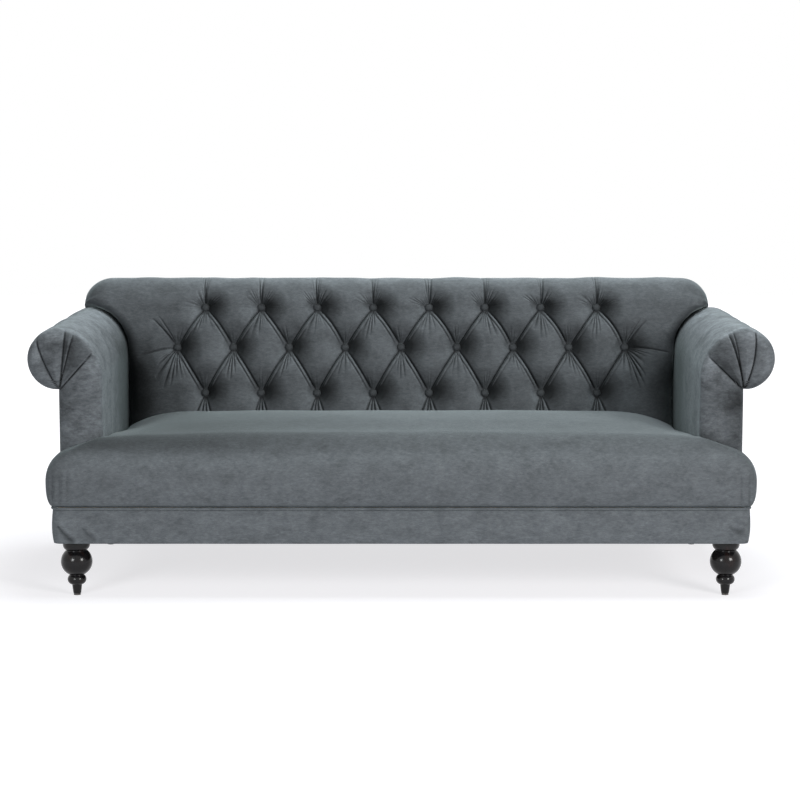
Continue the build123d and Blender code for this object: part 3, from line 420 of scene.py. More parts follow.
def woven(name, dark, light, threads, shine):
    """Plain woven cloth: two sets of threads that cross, with slubs."""
    material, tree, shader = new_material(name)
    vector = object_coords(tree, (1, 1, 1))
    sets = []
    for way in ("X", "Y"):
        inputs = {"Vector": vector, "Scale": threads, "Distortion": 0.6, "Detail": 1.0}
        sets.append(add_node(tree, "TexWave", inputs, bands_direction=way).outputs["Color"])
    weave = mix(tree, "MULTIPLY", 0.6, sets[0], sets[1])
    slubs = noise(tree, threads * 0.4, 3.0, 0.6)
    colour = mix(tree, "MIX", slubs, ramp(tree, weave, [(0.2, dark), (0.8, light)]),
                 ramp(tree, weave, [(0.1, light), (0.9, dark)]))
    paint(tree, shader, colour, remap(tree, slubs, 1.0 - shine, 1.0))
    bump(tree, shader, [(weave, 0.0006, 0.6)])
    return material


def steel():
    """Drawn and zinc-plated steel."""
    material, tree, shader = new_material("steel")
    drawn = noise(tree, 1.0, 3.0, stretch=(30.0, 260.0, 260.0))
    spots = noise(tree, 80.0, 3.0)
    colour = ramp(tree, spots, [(0.3, (0.40, 0.40, 0.41)), (0.7, (0.58, 0.58, 0.60))])
    paint(tree, shader, colour, remap(tree, drawn, 0.28, 0.5))
    shader.inputs["Metallic"].default_value = 1.0
    bump(tree, shader, [(drawn, 0.0003, 0.2)])
    return material


def nylon():
    """Dark moulded nylon, scuffed underneath."""
    material, tree, shader = new_material("nylon")
    scuffs = noise(tree, 1.0, 4.0, 0.7, stretch=(90.0, 300.0, 90.0))
    colour = ramp(tree, scuffs, [(0.4, (0.06, 0.055, 0.05)), (0.75, (0.16, 0.15, 0.14))])
    paint(tree, shader, colour, remap(tree, scuffs, 0.45, 0.75))
    bump(tree, shader, [(scuffs, 0.0003, 0.3)])
    return material


VELVET = velvet("velvet", 0.45, 0.24)
SEAT_VELVET = velvet("seat_velvet", 0.45, 0.19)
ARM_VELVET = velvet("arm_velvet", 1.0, 0.13)
FINISHES = {
    "velvet": VELVET,
    "black_lacquer": lacquer(),
    "hardwood": hardwood(),
    "lining_board": lining_board(),
    "foam": foam(),
    "jute": woven("jute", (0.30, 0.21, 0.11), (0.62, 0.49, 0.31), 260.0, 0.15),
    "cambric": woven("cambric", (0.010, 0.010, 0.011), (0.030, 0.030, 0.032), 420.0, 0.2),
    "steel": steel(),
    "nylon": nylon(),
}
for part in frame["record"]["subparts"]:
    for holder in frame["nodes"][part["node"]].material_slots:
        holder.material = FINISHES[part["material_slot"]]


# Tufted back, on an unrolled sheet: x along the sofa, s up the face and round the roll

def row_s(z):
    """Place up the sheet of a height on the straight face."""
    return (z - ROLL_START_Z) / math.cos(LEAN)


ROW_S = [row_s(z) for z in ROW_Z]
BUTTONS = [(x, s) for s, row in zip(ROW_S, (SHORT_ROW, LONG_ROW, SHORT_ROW)) for x in row]


def beside(x, s, start, end, bow):
    """Share of the way along a bowed line, signed distance beside it, distance from it and its length."""
    dx, ds = end[0] - start[0], end[1] - start[1]
    length = math.hypot(dx, ds)
    share = ((x - start[0]) * dx + (s - start[1]) * ds) / length ** 2
    inside = np.clip(share, 0, 1)
    side = ((x - start[0]) * ds - (s - start[1]) * dx) / length - bow * 4 * inside * (1 - inside)
    return inside, side, np.hypot(side, (share - inside) * length), length


def crease(gap, depth, width):
    """A groove with a sharp floor and rounded shoulders."""
    return -depth * nearness(gap, width) ** 2


def slanting_pleats():
    """Pleats of the diamonds, each from an upper button to a lower one."""
    found = []
    for upper, lower in ((2, 1), (1, 0)):
        tops = LONG_ROW if upper == 1 else SHORT_ROW
        feet = LONG_ROW if lower == 1 else SHORT_ROW
        for a in tops:
            for b in feet:
                if abs(abs(a - b) - PITCH / 2) < 0.001:
                    found.append(((a, ROW_S[upper]), (b, ROW_S[lower])))
    return found


def near_button(way, reach):
    """1 at a button's edge, falling to 0 at a reach beyond it."""
    return nearness(way - 0.012, reach) ** 2


def pleat(gap, depth):
    """A pleat: a wide soft valley, a steeper one and a sharp line in it."""
    steps = ((0.40, 0.048), (0.22, 0.020), (0.45, 0.0052))
    return sum(crease(gap, depth * share, width) for share, width in steps)


def crease_shade(gap, strength):
    """Painted shade in the bottom of a crease."""
    return strength * np.clip(1.2 - gap / 0.0031, 0, 1)


def slope_shade(slope):
    """Painted shade on slopes that face left and a painted highlight on slopes that face right, as if lit
    from the right.
    """
    return np.clip(0.42 * slope, -0.42, 0.36)


def diamond_pleats(x, s, pick):
    """Slanting pleats: each has a sharp line and a narrow folded strip beside it, with painted shade in the
    line and along the strip.
    """
    valley = np.zeros_like(x)
    strip = np.zeros_like(x)
    painted_shade = np.zeros_like(x)
    for start, end in slanting_pleats():
        slope = 1 if end[0] > start[0] else -1
        bow = (-0.0058 if start[1] > ROW_S[1] else -0.0022) if slope > 0 else 0.0016
        share, side, gap, length = beside(x, s, start, end, bow * pick.uniform(0.6, 1.3))
        near = np.maximum(near_button(share * length, 0.05), near_button((1 - share) * length, 0.05))
        valley = np.minimum(valley, pleat(gap, PLEAT + 0.006 * near))
        mid = smoothstep(0.0, 0.14, share) * smoothstep(0.0, 0.14, 1 - share)
        off = side * slope
        ridge = 0.0022 * hump(off, 0.0055, 0.0026)
        second = -0.0026 * hump(off, 0.0105, 0.0021) * (1.0 if slope > 0 else 0.5)
        change = (ridge + second) * mid * (gap < 0.02)
        strip = np.where(np.abs(change) > np.abs(strip), change, strip)
        painted_shade = np.maximum(painted_shade, crease_shade(gap, 0.85))
        strip_line = crease_shade(np.abs(off - 0.0105) + (gap > 0.02), 0.40 if slope > 0 else 0.15)
        painted_shade = np.maximum(painted_shade, strip_line * mid)
    return valley + strip, painted_shade


def upright_pleats(x, s, pick):
    """Pleats from the top buttons over the roll, and from the bottom buttons down to the seat."""
    for x0 in SHORT_ROW:
        for lean, deep in ((-0.016, 0.009), (-0.004, 0.017), (0.007, 0.015), (0.018, 0.008)):
            end = (x0 + lean * pick.uniform(0.7, 1.2), 0.130 + pick.uniform(-0.02, 0.02))
            share, _, gap, _ = beside(x, s, (x0, ROW_S[2]), end, pick.uniform(-0.002, 0.002))
            fade = (1 - share) ** 1.3
            groove = crease(gap, deep * fade * 0.45, 0.034) + crease(gap, deep * fade * 0.6, 0.0050)
            yield groove, crease_shade(gap, 55 * deep * (1 - share) ** 0.8)
        for lean in (-0.024, -0.008, 0.006, 0.026):
            end = (x0 + lean * pick.uniform(0.8, 1.2), row_s(0.385))
            share, _, gap, _ = beside(x, s, (x0, ROW_S[0]), end, 0.0)
            deep = 0.017 * (1 - 0.35 * share)
            yield crease(gap, deep * 0.5, 0.040) + crease(gap, deep * 0.5, 0.0050), crease_shade(gap, 0.8)


def end_pleats(x, s):
    """Pleats from the two end buttons towards the arms."""
    for side, level, upper in ((-1, (0.112, -0.030), (0.070, 0.080)), (1, (0.128, -0.018), (0.058, 0.074))):
        button = (side * LONG_ROW[-1], ROW_S[1])
        ends = ((*level, 0.013), (*upper, 0.014), (upper[0] * 0.74, upper[1] * 1.08, 0.009))
        for dx, ds, deep in ends:
            end = (button[0] + side * dx, button[1] + ds)
            share, _, gap, _ = beside(x, s, button, end, -0.003 * side)
            fade = (1 - share) ** 0.6
            groove = crease(gap, deep * fade * 0.5, 0.036) + crease(gap, deep * fade * 0.6, 0.0052)
            yield groove, crease_shade(gap, 50 * deep * fade)


def gathers(x, s):
    """Fine grooves that fan out from the buttons, mostly below them and over the top row.

    Each fan has its button's place, its aim and half angle in degrees, its strength and its reach.
    """
    pick = np.random.default_rng(23)
    total = np.zeros_like(x)
    fans = [(x0, s0, -90, 40, 1.0, 0.098) for x0, s0 in BUTTONS if s0 > ROW_S[0]]
    fans += [(x0, s0, 90, 42, 0.6, 0.066) for x0, s0 in BUTTONS if s0 < ROW_S[2]]
    fans += [(x0, ROW_S[2], 90, 105, 0.9, 0.066) for x0 in SHORT_ROW]
    fans += [(LONG_ROW[0], ROW_S[1], -105, 50, 1.4, 0.125), (LONG_ROW[-1], ROW_S[1], -60, 62, 1.5, 0.130)]
    for x0, s0, aim, half_angle, strength, reach in fans:
        dx, ds = x - x0, s - s0
        r = np.hypot(dx, ds)
        close = r < reach
        turn = np.degrees(np.arctan2(ds[close], dx[close])) - aim
        turn = (turn + 180) % 360 - 180
        window = np.clip(1.4 - 1.4 * (turn / half_angle) ** 2, 0, 1)
        angle = np.radians(turn)
        start = pick.uniform(0, 6.28)
        angle = angle + 0.06 * np.sin(angle * 7 + start)
        ridge = np.abs(np.sin(angle * pick.uniform(14.0, 17.0) + start))
        groove = nearness(ridge, 0.95)
        uneven = 0.75 + 0.25 * np.sin(angle * 4.3 + start * 2)
        length = reach * (0.75 + 0.25 * np.sin(angle * 5.1 + start * 3))
        near = r[close]
        swell = smoothstep(0.009, 0.020, near) * nearness(near, length) ** 0.8
        total[close] -= 0.0080 * strength * pick.uniform(0.75, 1.15) * groove * uneven * window * swell
    return total


def back_height(x, s):
    """Height of the padding over its crest, and the painted shade and highlight, at points of the sheet."""
    pick = np.random.default_rng(11)
    height, painted_shade = diamond_pleats(x, s, pick)
    for groove, dark in itertools.chain(upright_pleats(x, s, pick), end_pleats(x, s)):
        height = np.minimum(height, groove)
        painted_shade = np.maximum(painted_shade, dark)
    for x0, s0 in BUTTONS:
        r = np.hypot(x - x0, s - s0)
        wide = 0.028 * nearness(r, 0.076) ** 1.7
        close = nearness(r - 0.0115, 0.022) ** 2
        height = np.maximum(height - wide, -DIMPLE) * (1 - close) - DIMPLE * close
        # Painted shade to the right of each button, on the slope that faces left as if lit from the right,
        # and in the dimple round the button.
        turn = np.arctan2(s - s0, x - x0)
        facing = np.clip(np.cos(turn - 0.2), 0, 1) ** 1.4
        button_shade = 0.95 * facing * smoothstep(0.004, 0.016, r) * nearness(r, 0.078) ** 0.75
        painted_shade = np.maximum(painted_shade, np.maximum(button_shade, 0.75 * np.clip(1.6 - r / 0.0105, 0, 1)))
    grooves = gathers(x, s)
    # Painted shade in the gathers.
    painted_shade = np.maximum(painted_shade, np.clip(-grooves / 0.0060, 0, 0.5))
    # Darker over the face, darker still towards its foot, with a painted highlight over the top of the roll
    # and painted shade in the lower corners by the arms, deeper on the left.
    nap_and_painted_light = 0.30 + 0.10 * (1 - smoothstep(-0.30, -0.16, s)) - 0.68 * smoothstep(0.05, 0.12, s)
    corner = smoothstep(0.640, 0.735, np.abs(x)) * (1 - smoothstep(-0.20, -0.05, s))
    corner_shade = corner * np.where(x < 0, 0.80, 0.50)
    painted_shade = 1 - (1 - painted_shade) * (1 - nap_and_painted_light) * (1 - corner_shade)
    return height + grooves + 0.0016 * waves(x, s, 0.11, 9, 5), painted_shade


def arm_clear(z):
    """Half width of the back at a height: between the arms, then over their shoulders."""
    low = np.minimum(z - 0.014, ARM_TOP - 0.004)
    rise = np.clip(low - SHOULDER_Z, 0, SHOULDER_R)
    return SHOULDER_X - np.sqrt(SHOULDER_R ** 2 - rise ** 2) - 0.001 - 0.001 * smoothstep(0, 0.02, rise)


def back_rows():
    """For every row of the sheet: place, crest point, normal, half widths and rounding of the ends."""
    seen, behind = row_s(0.39), 0.15
    foot = np.arange(row_s(BACK_LOW), seen, 0.006)
    face = np.arange(seen, behind, 0.0015)
    roll = np.linspace(behind, ROLL_R * ROLL_TURN, 44)
    s = np.concatenate([foot, face, roll])
    turn = LEAN + np.maximum(s, 0) / ROLL_R
    up = np.minimum(s, 0)
    y = ROLL_Y - ROLL_R * np.cos(turn) + up * math.sin(LEAN)
    z = ROLL_Z + ROLL_R * np.sin(turn) + up * math.cos(LEAN)
    width = arm_clear(np.minimum(z, ROLL_START_Z))
    over = smoothstep(-0.010, 0.026, s)
    left = width + (ROLL_LEFT - width) * over
    right = width + (ROLL_RIGHT - width) * over
    end = FOOT_END_ROUND + (FACE_END_ROUND - FOOT_END_ROUND) * smoothstep(0.44, 0.60, z)
    end = end + (ROLL_END_ROUND - end) * smoothstep(-0.020, 0.035, s)
    return s, y, z, -np.cos(turn), np.sin(turn), left, right, end


def back_end(width, end):
    """Columns from the flat part to one end: place, drop, place on the sheet and turn of the normal."""
    edge = (width - end)[:, None]
    end = end[:, None]
    outer = FLAT_HALF + (edge - FLAT_HALF) * np.linspace(0, 1, 61)[1:][None, :]
    bend = np.linspace(0, math.pi / 2, 22)[1:][None, :] + 0 * edge
    cap_drop = np.array([-0.081, -0.0835])[None, :] + 0 * edge
    cap_x = width[:, None] + 0 * cap_drop
    x = np.hstack([outer, edge + end * np.sin(bend), cap_x])
    drop = np.hstack([0 * outer, end * np.cos(bend) - end, cap_drop])
    sheet_x = np.hstack([outer, edge + end * bend, cap_x + 0.05])
    turn = np.hstack([0 * outer, bend, np.full_like(cap_drop, math.pi / 2)])
    return x, drop, sheet_x, turn


def build_back():
    """The deep-buttoned back as one continuous padded sheet with rounded ends."""
    s, y, z, ny, nz, left, right, end = back_rows()
    flat = np.linspace(-FLAT_HALF, FLAT_HALF, FLAT_COLUMNS)[None, :] + 0 * s[:, None]
    left = [columns[:, ::-1] for columns in back_end(left, end)]
    right = back_end(right, end)
    x0 = np.hstack([-left[0], flat, right[0]])
    drop = np.hstack([left[1], 0 * flat, right[1]])
    sheet_x = np.hstack([-left[2], flat, right[2]])
    turn = np.hstack([-left[3], 0 * flat, right[3]])
    height, painted_shade = back_height(sheet_x, s[:, None] + 0 * sheet_x)
    # Painted shade on slopes that face left and a painted highlight on slopes that face right, as if lit
    # from the right.
    slope = np.gradient(height, axis=1) / np.maximum(np.gradient(sheet_x, axis=1), 0.0005)
    painted_shade = np.clip(painted_shade + slope_shade(slope), -0.6, 0.97)
    height = height * (1 - smoothstep(math.pi * 0.25, math.pi * 0.5, np.abs(turn)))
    x = x0 + height * np.sin(turn)
    h = drop + height * np.cos(turn)
    points = spread(x, y[:, None] + h * ny[:, None], z[:, None] + h * nz[:, None])
    piece = make_piece("tufted_back", points, grid_faces(*x.shape), VELVET,
                       ("back_cover", "back_foam"), painted_shade)


def build_buttons():
    """Velvet-covered buttons, a piece for each row."""
    ball = [(math.sin(a), math.cos(a)) for a in np.linspace(0, math.pi / 2, 9)[1:]]
    profile = [(0.0002, BUTTON_H)] + [(BUTTON_R * r, BUTTON_H * (0.32 + 0.68 * c)) for r, c in ball]
    profile += [(BUTTON_R * 0.97, BUTTON_H * 0.12), (BUTTON_R * 0.86, 0.0)]
    verts, faces = lathe(profile, 28)
    names = ("bottom_row_buttons", "middle_row_buttons", "top_row_buttons")
    for name, s, row in zip(names, ROW_S, (SHORT_ROW, LONG_ROW, SHORT_ROW)):
        points, quads = [], []
        base_y = ROLL_START_Y + s * math.sin(LEAN)
        base_z = ROLL_START_Z + s * math.cos(LEAN)
        for x in row:
            out = verts[:, 2] - DIMPLE + BUTTON_LIFT
            up = verts[:, 1]
            y = base_y - out * math.cos(LEAN) + up * math.sin(LEAN)
            z = base_z + out * math.sin(LEAN) + up * math.cos(LEAN)
            quads += [[i + len(points) * len(verts) for i in face] for face in faces]
            points.append(spread(x + verts[:, 0], y, z))
        # Painted shade over the buttons, deeper towards their base in the dimple.
        edge = np.tile(np.clip(0.95 - verts[:, 2] / BUTTON_H * 0.35, 0, 1), len(row))
        make_piece("velvet_" + name, np.concatenate(points), quads, VELVET, (name,), edge)


# Seat

def nose_depth(x):
    """Depth of the nose: long over the deck, short in front of the arms."""
    return EAR_DEPTH + (NOSE_DEPTH - EAR_DEPTH) * smoothstep(DECK_HALF, DECK_HALF - 0.11, np.abs(x))


def deck_height(x, y):
    """Top of the seat: a crown that falls off beside the arms and into the rear corners."""
    rise = SEAT_EDGE + (SEAT_CROWN - SEAT_EDGE) * smoothstep(SEAT_FRONT + NOSE_DEPTH, CROWN_Y, y)
    fall = np.clip((y - CROWN_Y) / (DECK_REAR - CROWN_Y), 0, 1)
    middle = rise - (SEAT_CROWN - SEAT_REAR) * fall ** 2
    top = SEAT_SIDE + (middle - SEAT_SIDE) * (1 - np.abs(x / DECK_HALF) ** 2.6)
    corner = np.clip((np.abs(x) - 0.54) / (DECK_HALF - 0.54), 0, 1) ** 2.8
    return top - DECK_DROOP * corner * smoothstep(ARM_FRONT, 0.12, y) + 0.0012 * waves(x, y, 0.35, 8, 3)


def seat_outline(power, bulge):
    """Plan of the nose from ear to ear: places, outward normals, inner points and share facing sideways.

    The corners are squarer for a higher power, and the bulge widens the ears.
    """
    inner_y = SEAT_FRONT + EAR_DEPTH
    ear_w = SEAT_HALF + bulge - DECK_HALF
    left = []
    for bend in np.linspace(0, math.pi / 2, EAR_COLUMNS):
        a = math.cos(bend) ** (2 / power)
        b = math.sin(bend) ** (2 / power)
        nx, ny = a ** (power - 1) / ear_w, b ** (power - 1) / EAR_DEPTH
        size = math.hypot(nx, ny)
        left.append((-DECK_HALF - ear_w * a, inner_y - EAR_DEPTH * b, -nx / size, -ny / size,
                     -DECK_HALF, inner_y, math.cos(bend) ** 2))
    middle = [(x, SEAT_FRONT, 0.0, -1.0, x, SEAT_FRONT + nose_depth(x), 0.0)
              for x in np.linspace(-DECK_HALF, DECK_HALF, NOSE_COLUMNS)[1:-1]]
    right = [(-x, y, -nx, ny, -ix, iy, aside) for x, y, nx, ny, ix, iy, aside in reversed(left)]
    return np.array(left + middle + right)


def end_backs(rows, reach, least):
    """Flat returns behind the two ends of a strip, as two grids of points."""
    found = []
    for end, way in ((0, 1), (-1, -1)):
        near = np.array([row[end] for row in rows]) + np.array([way * 0.0006, 0.0006, 0.0])
        far = near.copy()
        far[:, 0] = -way * np.maximum(np.abs(near[:, 0]) - reach, least)
        found.append(np.stack([near, far], axis=1).reshape(-1, 3))
    return found


def ear_lips(rings):
    """Strips that carry the tops of the ears back into the soft inner corners of the arms."""
    soft = ARM_ROUND * INNER_SOFT
    found = []
    for end in (0, -1):
        near = np.array([ring[end] for ring in rings if abs(ring[end][0]) < ARM_INNER + soft])
        turn = nearness(np.abs(near[:, 0]) - ARM_INNER, soft)
        far = near.copy()
        far[:, 1] = ARM_FRONT + ARM_ROUND * (1 - np.sqrt(1 - turn ** 2)) - 0.0008
        far[:, 2] -= 0.001
        found.append(np.stack([near, far], axis=1).reshape(-1, 3))
    return found


def nose_rings():
    """Rings of points from the tucked seam, over the nose and ears, to the edge of the deck."""
    rings = []
    for v in np.linspace(1, 0, 15)[:-1]:
        power = NOSE_POWER + (SEAM_POWER - NOSE_POWER) * v ** 2
        px, py, nx, ny, _, _, _ = seat_outline(power, EAR_BULGE * (1 - v ** 2)).T
        tuck = NOSE_TUCK * (1 - math.sqrt(max(0.0, 1 - v ** 2.3)))
        z = NOSE_Z - (NOSE_Z - SEAT_Z) * v
        if not rings:
            hem = tuck + SEAT_HEM
            rings.append(spread(px - nx * hem, py - ny * hem, z - 0.001))
        rings.append(spread(px - nx * tuck, py - ny * tuck, z))
    px, py, _, _, ix, iy, aside = seat_outline(NOSE_POWER, EAR_BULGE).T
    top = deck_height(ix, iy)
    for bend in np.linspace(0, math.pi / 2, 44):
        c = math.cos(bend)
        ahead = math.sin(bend)
        sideways = (1 - EAR_DROOP * c) * math.sqrt(max(0.0, 1 - c ** 8))
        rise = ahead + (sideways - ahead) * aside
        rings.append(spread(ix + (px - ix) * c, iy + (py - iy) * c, NOSE_Z + (top - NOSE_Z) * rise))
    return rings


def deck_points():
    """Grid of the seat's top behind the nose, tucked in beside the arms and the back."""
    xs = np.linspace(-DECK_HALF, DECK_HALF, NOSE_COLUMNS)[None, :]
    start = SEAT_FRONT + nose_depth(xs)
    y = start + (DECK_REAR - start) * np.linspace(0, 1, DECK_ROWS)[:, None]
    x = xs + 0 * y
    by_arm = nearness(DECK_HALF - np.abs(x), 0.022) * smoothstep(ARM_FRONT, ARM_FRONT + 0.04, y)
    by_back = nearness(DECK_REAR - y, 0.03)
    return spread(x, y, deck_height(x, y) - 0.010 * np.maximum(by_arm, by_back) ** 2)


# Place along the front and depth of each gather at the ears
EAR_GATHERS = ((-0.890, 0.0040), (-0.871, 0.0045), (-0.850, 0.0028), (0.866, 0.0028), (0.887, 0.0032))


def seat_gathers(verts):
    """Points with upright gathers at the ears, small slanting ones at the seam's ends and soft waves."""
    x, y, z = verts.T
    front = smoothstep(-0.35, -0.40, y)
    out = np.zeros_like(x)
    for place, depth in EAR_GATHERS:
        span = smoothstep(0.243, 0.256, z) * (1 - smoothstep(0.29, 0.36, z))
        out -= depth * hump(x, place, 0.0050) * span
    slant = np.sin((x + (z - SEAT_Z) * 0.6) * 2 * math.pi / 0.013)
    span = hump(z, 0.252, 0.014) * smoothstep(0.60, 0.80, np.abs(x))
    out += 0.0007 * slant * span
    wave = 0.0010 * waves(x, z, 0.22, 7, 9)
    verts = verts.copy()
    verts[:, 1] -= (out + wave) * front
    return verts


def seat_painted_shade(verts):
    """Darker overall a little; painted shade over the top, deeper to its left as if lit from the right, on
    the left ear, in the tucked seam and in the gathers.
    """
    x, y, z = verts.T
    on_top = smoothstep(NOSE_Z + 0.04, SEAT_SIDE, z) * smoothstep(-0.425, -0.385, y)
    painted_shade = 0.08 + on_top * (0.26 + 0.44 * smoothstep(0.1, -0.7, x)) + 0.12 * smoothstep(0.850, 0.888, -x)
    painted_shade = np.maximum(painted_shade, 0.6 * (1 - smoothstep(SEAT_Z + 0.001, SEAT_Z + 0.007, z)))
    for place, _ in EAR_GATHERS:
        line = hump(x, place, 0.0035) * (y < -0.36) * smoothstep(0.345, 0.30, z)
        painted_shade = np.maximum(painted_shade, 0.30 * line)
    return painted_shade


def build_seat():
    """One tight T-shaped seat: bull-nose front, two drooping ears and a crowned deck."""
    rings = nose_rings()
    deck = deck_points()
    nose = np.concatenate(rings)
    verts = seat_gathers(np.concatenate([nose, deck.reshape(-1, 3)]))
    faces = grid_faces(len(rings), len(rings[0])) + grid_faces(*deck.shape[:2], first=len(nose))
    verts, faces = with_strips(verts, faces, end_backs(rings, 0.045, DECK_HALF) + ear_lips(rings))
    piece = make_piece("bench_seat", verts, faces, SEAT_VELVET, ("seat_cover", "seat_foam"),
                       seat_painted_shade(verts))
    weld(piece, 0.0004)


# Arms

def scroll(y):
    """Scroll radius, centre and joining turn at a place along the arm."""
    share = np.clip((y - ARM_STRAIGHT) / (ARM_REAR - ARM_STRAIGHT), 0, 1)
    r = SCROLL_R + (SCROLL_REAR_R - SCROLL_R) * share
    rise = ARM_TOP - r - SHOULDER_Z
    turn = math.acos(rise / (SHOULDER_R - r))
    return r, SHOULDER_X - (SHOULDER_R - r) * math.sin(turn), SHOULDER_Z + rise, turn


def arm_outline(y, inset, outer):
    """Closed cross-section of the right arm as (x, z), from its inner foot round the scroll."""
    r, cx, cz, turn = scroll(y)
    join = math.pi / 2 + turn
    soft = inset * INNER_SOFT
    r1 = SHOULDER_R - soft + (soft - inset) * np.linspace(0, 1, 70, endpoint=False)
    r2 = r - inset
    under = -math.acos((outer - cx) / r2)
    inner = ARM_INNER + soft
    rise = SHOULDER_Z - ARM_BOTTOM
    up = [(inner, ARM_BOTTOM + rise * t) for t in np.linspace(0, 1, 60, endpoint=False)]
    a = np.linspace(math.pi, join, 70, endpoint=False)
    shoulder = np.stack([SHOULDER_X + r1 * np.cos(a), SHOULDER_Z + r1 * np.sin(a)], axis=-1)
    a = np.linspace(join, under, 190, endpoint=False)
    roll = np.stack([cx + r2 * np.cos(a), cz + r2 * np.sin(a)], axis=-1)
    tuck = cz + r2 * math.sin(under)
    down = [(outer, tuck + (ARM_BOTTOM - tuck) * t) for t in np.linspace(0, 1, 70, endpoint=False)]
    foot = [(outer + (inner - outer) * t, ARM_BOTTOM) for t in np.linspace(0, 1, 24, endpoint=False)]
    return np.concatenate([up, shoulder, roll, down, foot])


def arm_sections():
    """Cross-sections from the middle of the front cap to the middle of the rear end."""
    def section(y, inset, outer=None):
        flat = arm_outline(y, inset, ARM_OUTER - inset if outer is None else outer)
        return spread(flat[:, 0], y, flat[:, 1])

    front = section(ARM_FRONT, ARM_ROUND)
    middle = np.array([ARM_OUTER - 0.030, ARM_FRONT, 0.552])
    found = [middle + (front - middle) * share for share in np.linspace(0.015, 0.985, 42)]
    for bend in np.linspace(0, math.pi / 2, 11):
        y = ARM_FRONT + ARM_ROUND * (1 - math.cos(bend))
        found.append(section(y, ARM_ROUND * (1 - math.sin(bend))))
    for y in np.arange(ARM_FRONT + ARM_ROUND + 0.004, ARM_REAR - 0.012, 0.007):
        found.append(section(y, 0.0, ARM_OUTER - PANEL_T * smoothstep(-0.292, -0.286, y)))
    for bend in np.linspace(0, math.pi / 2, 6):
        inset = REAR_ROUND * (1 - math.cos(bend))
        y = ARM_REAR - REAR_ROUND + REAR_ROUND * math.sin(bend)
        found.append(section(y, inset, ARM_OUTER - PANEL_T - inset))
    rear = found[-1]
    middle = np.array([ARM_OUTER - 0.020, ARM_REAR, 0.560])
    found += [middle + (rear - middle) * share for share in np.linspace(0.95, 0.02, 8)]
    return np.array(found)


# Pleats of the left and right scroll as (end, bow, depth), all from one foot; the last edges the fan
FAN_FOOT = (0.8835, 0.5275)
FANS = {
    -1: (((0.944, 0.670), 0.006, 0.0065), ((0.866, 0.686), -0.002, 0.0070), ((0.843, 0.682), 0.0, 0.0040),
         ((0.798, 0.622), 0.0, 0.0070)),
    1: (((0.912, 0.682), 0.010, 0.0060), ((0.838, 0.681), 0.006, 0.0065), ((0.852, 0.684), 0.003, 0.0035),
        ((0.793, 0.614), 0.0, 0.0070)),
}


def fan_pleats(points, side):
    """Depth of the pleats that fan over the front of a scroll, and the darkening: painted shade in the
    pleat lines, the inside of the fan darker and its rim lighter.
    """
    x, _, z = points.T
    total = np.zeros_like(x)
    foot_x, foot_z = FAN_FOOT
    edge_x, edge_z = FANS[side][-1][0]
    over = (x - foot_x) * (edge_z - foot_z) - (z - foot_z) * (edge_x - foot_x)
    from_eye = np.hypot(x - SCROLL_EYE[0], z - SCROLL_EYE[1])
    rim = smoothstep(0.046, 0.076, from_eye) * smoothstep(0.86, 0.92, x)
    leaf = 0.24 + 0.40 * (1 - smoothstep(0.850, 0.890, x)) - 0.34 * rim
    painted_shade = leaf * smoothstep(-0.0004, 0.0010, over)
    for end, bow, depth in FANS[side]:
        share, _, gap, _ = beside(x, z, FAN_FOOT, end, bow)
        ends = (0.6 + 0.4 * smoothstep(0, 0.35, share)) * (1 - smoothstep(0.9, 1.0, share) * 0.5)
        strength = depth * ends
        total = np.minimum(total, crease(gap, strength, 0.030) + crease(gap, strength * 0.8, 0.0048))
        painted_shade = np.maximum(painted_shade, crease_shade(gap, 0.85))
    return total, painted_shade


def arm_padding(points, side):
    """Points of an arm when its filling swells, its pleats sink in and its cover is a little uneven."""
    x, y, z = points.T
    at_front = 1 - smoothstep(ARM_FRONT + 0.010, ARM_FRONT + 0.040, y)
    dome = nearness(np.hypot(x - 0.880, z - 0.612), 0.085)
    swell = 0.007 * smoothstep(0, 0.7, dome) * at_front
    depth = fan_pleats(points, side)[0] * at_front
    away = points - np.array([SCROLL_EYE[0], 0.0, SCROLL_EYE[1]])
    away[:, 1] = 0
    away /= np.maximum(np.linalg.norm(away, axis=1), 0.02)[:, None]
    face = 1 - smoothstep(ARM_FRONT, ARM_FRONT + ARM_ROUND, y)
    push = spread(away[:, 0] * (1 - face), -(0.25 + 0.75 * face), away[:, 2] * (1 - face))
    soft = 0.0012 * waves(y, z, 0.16, 7, 31 + side) * (z > 0.26) * (1 - at_front)
    return points + push * (swell + depth)[:, None] + away * soft[:, None]


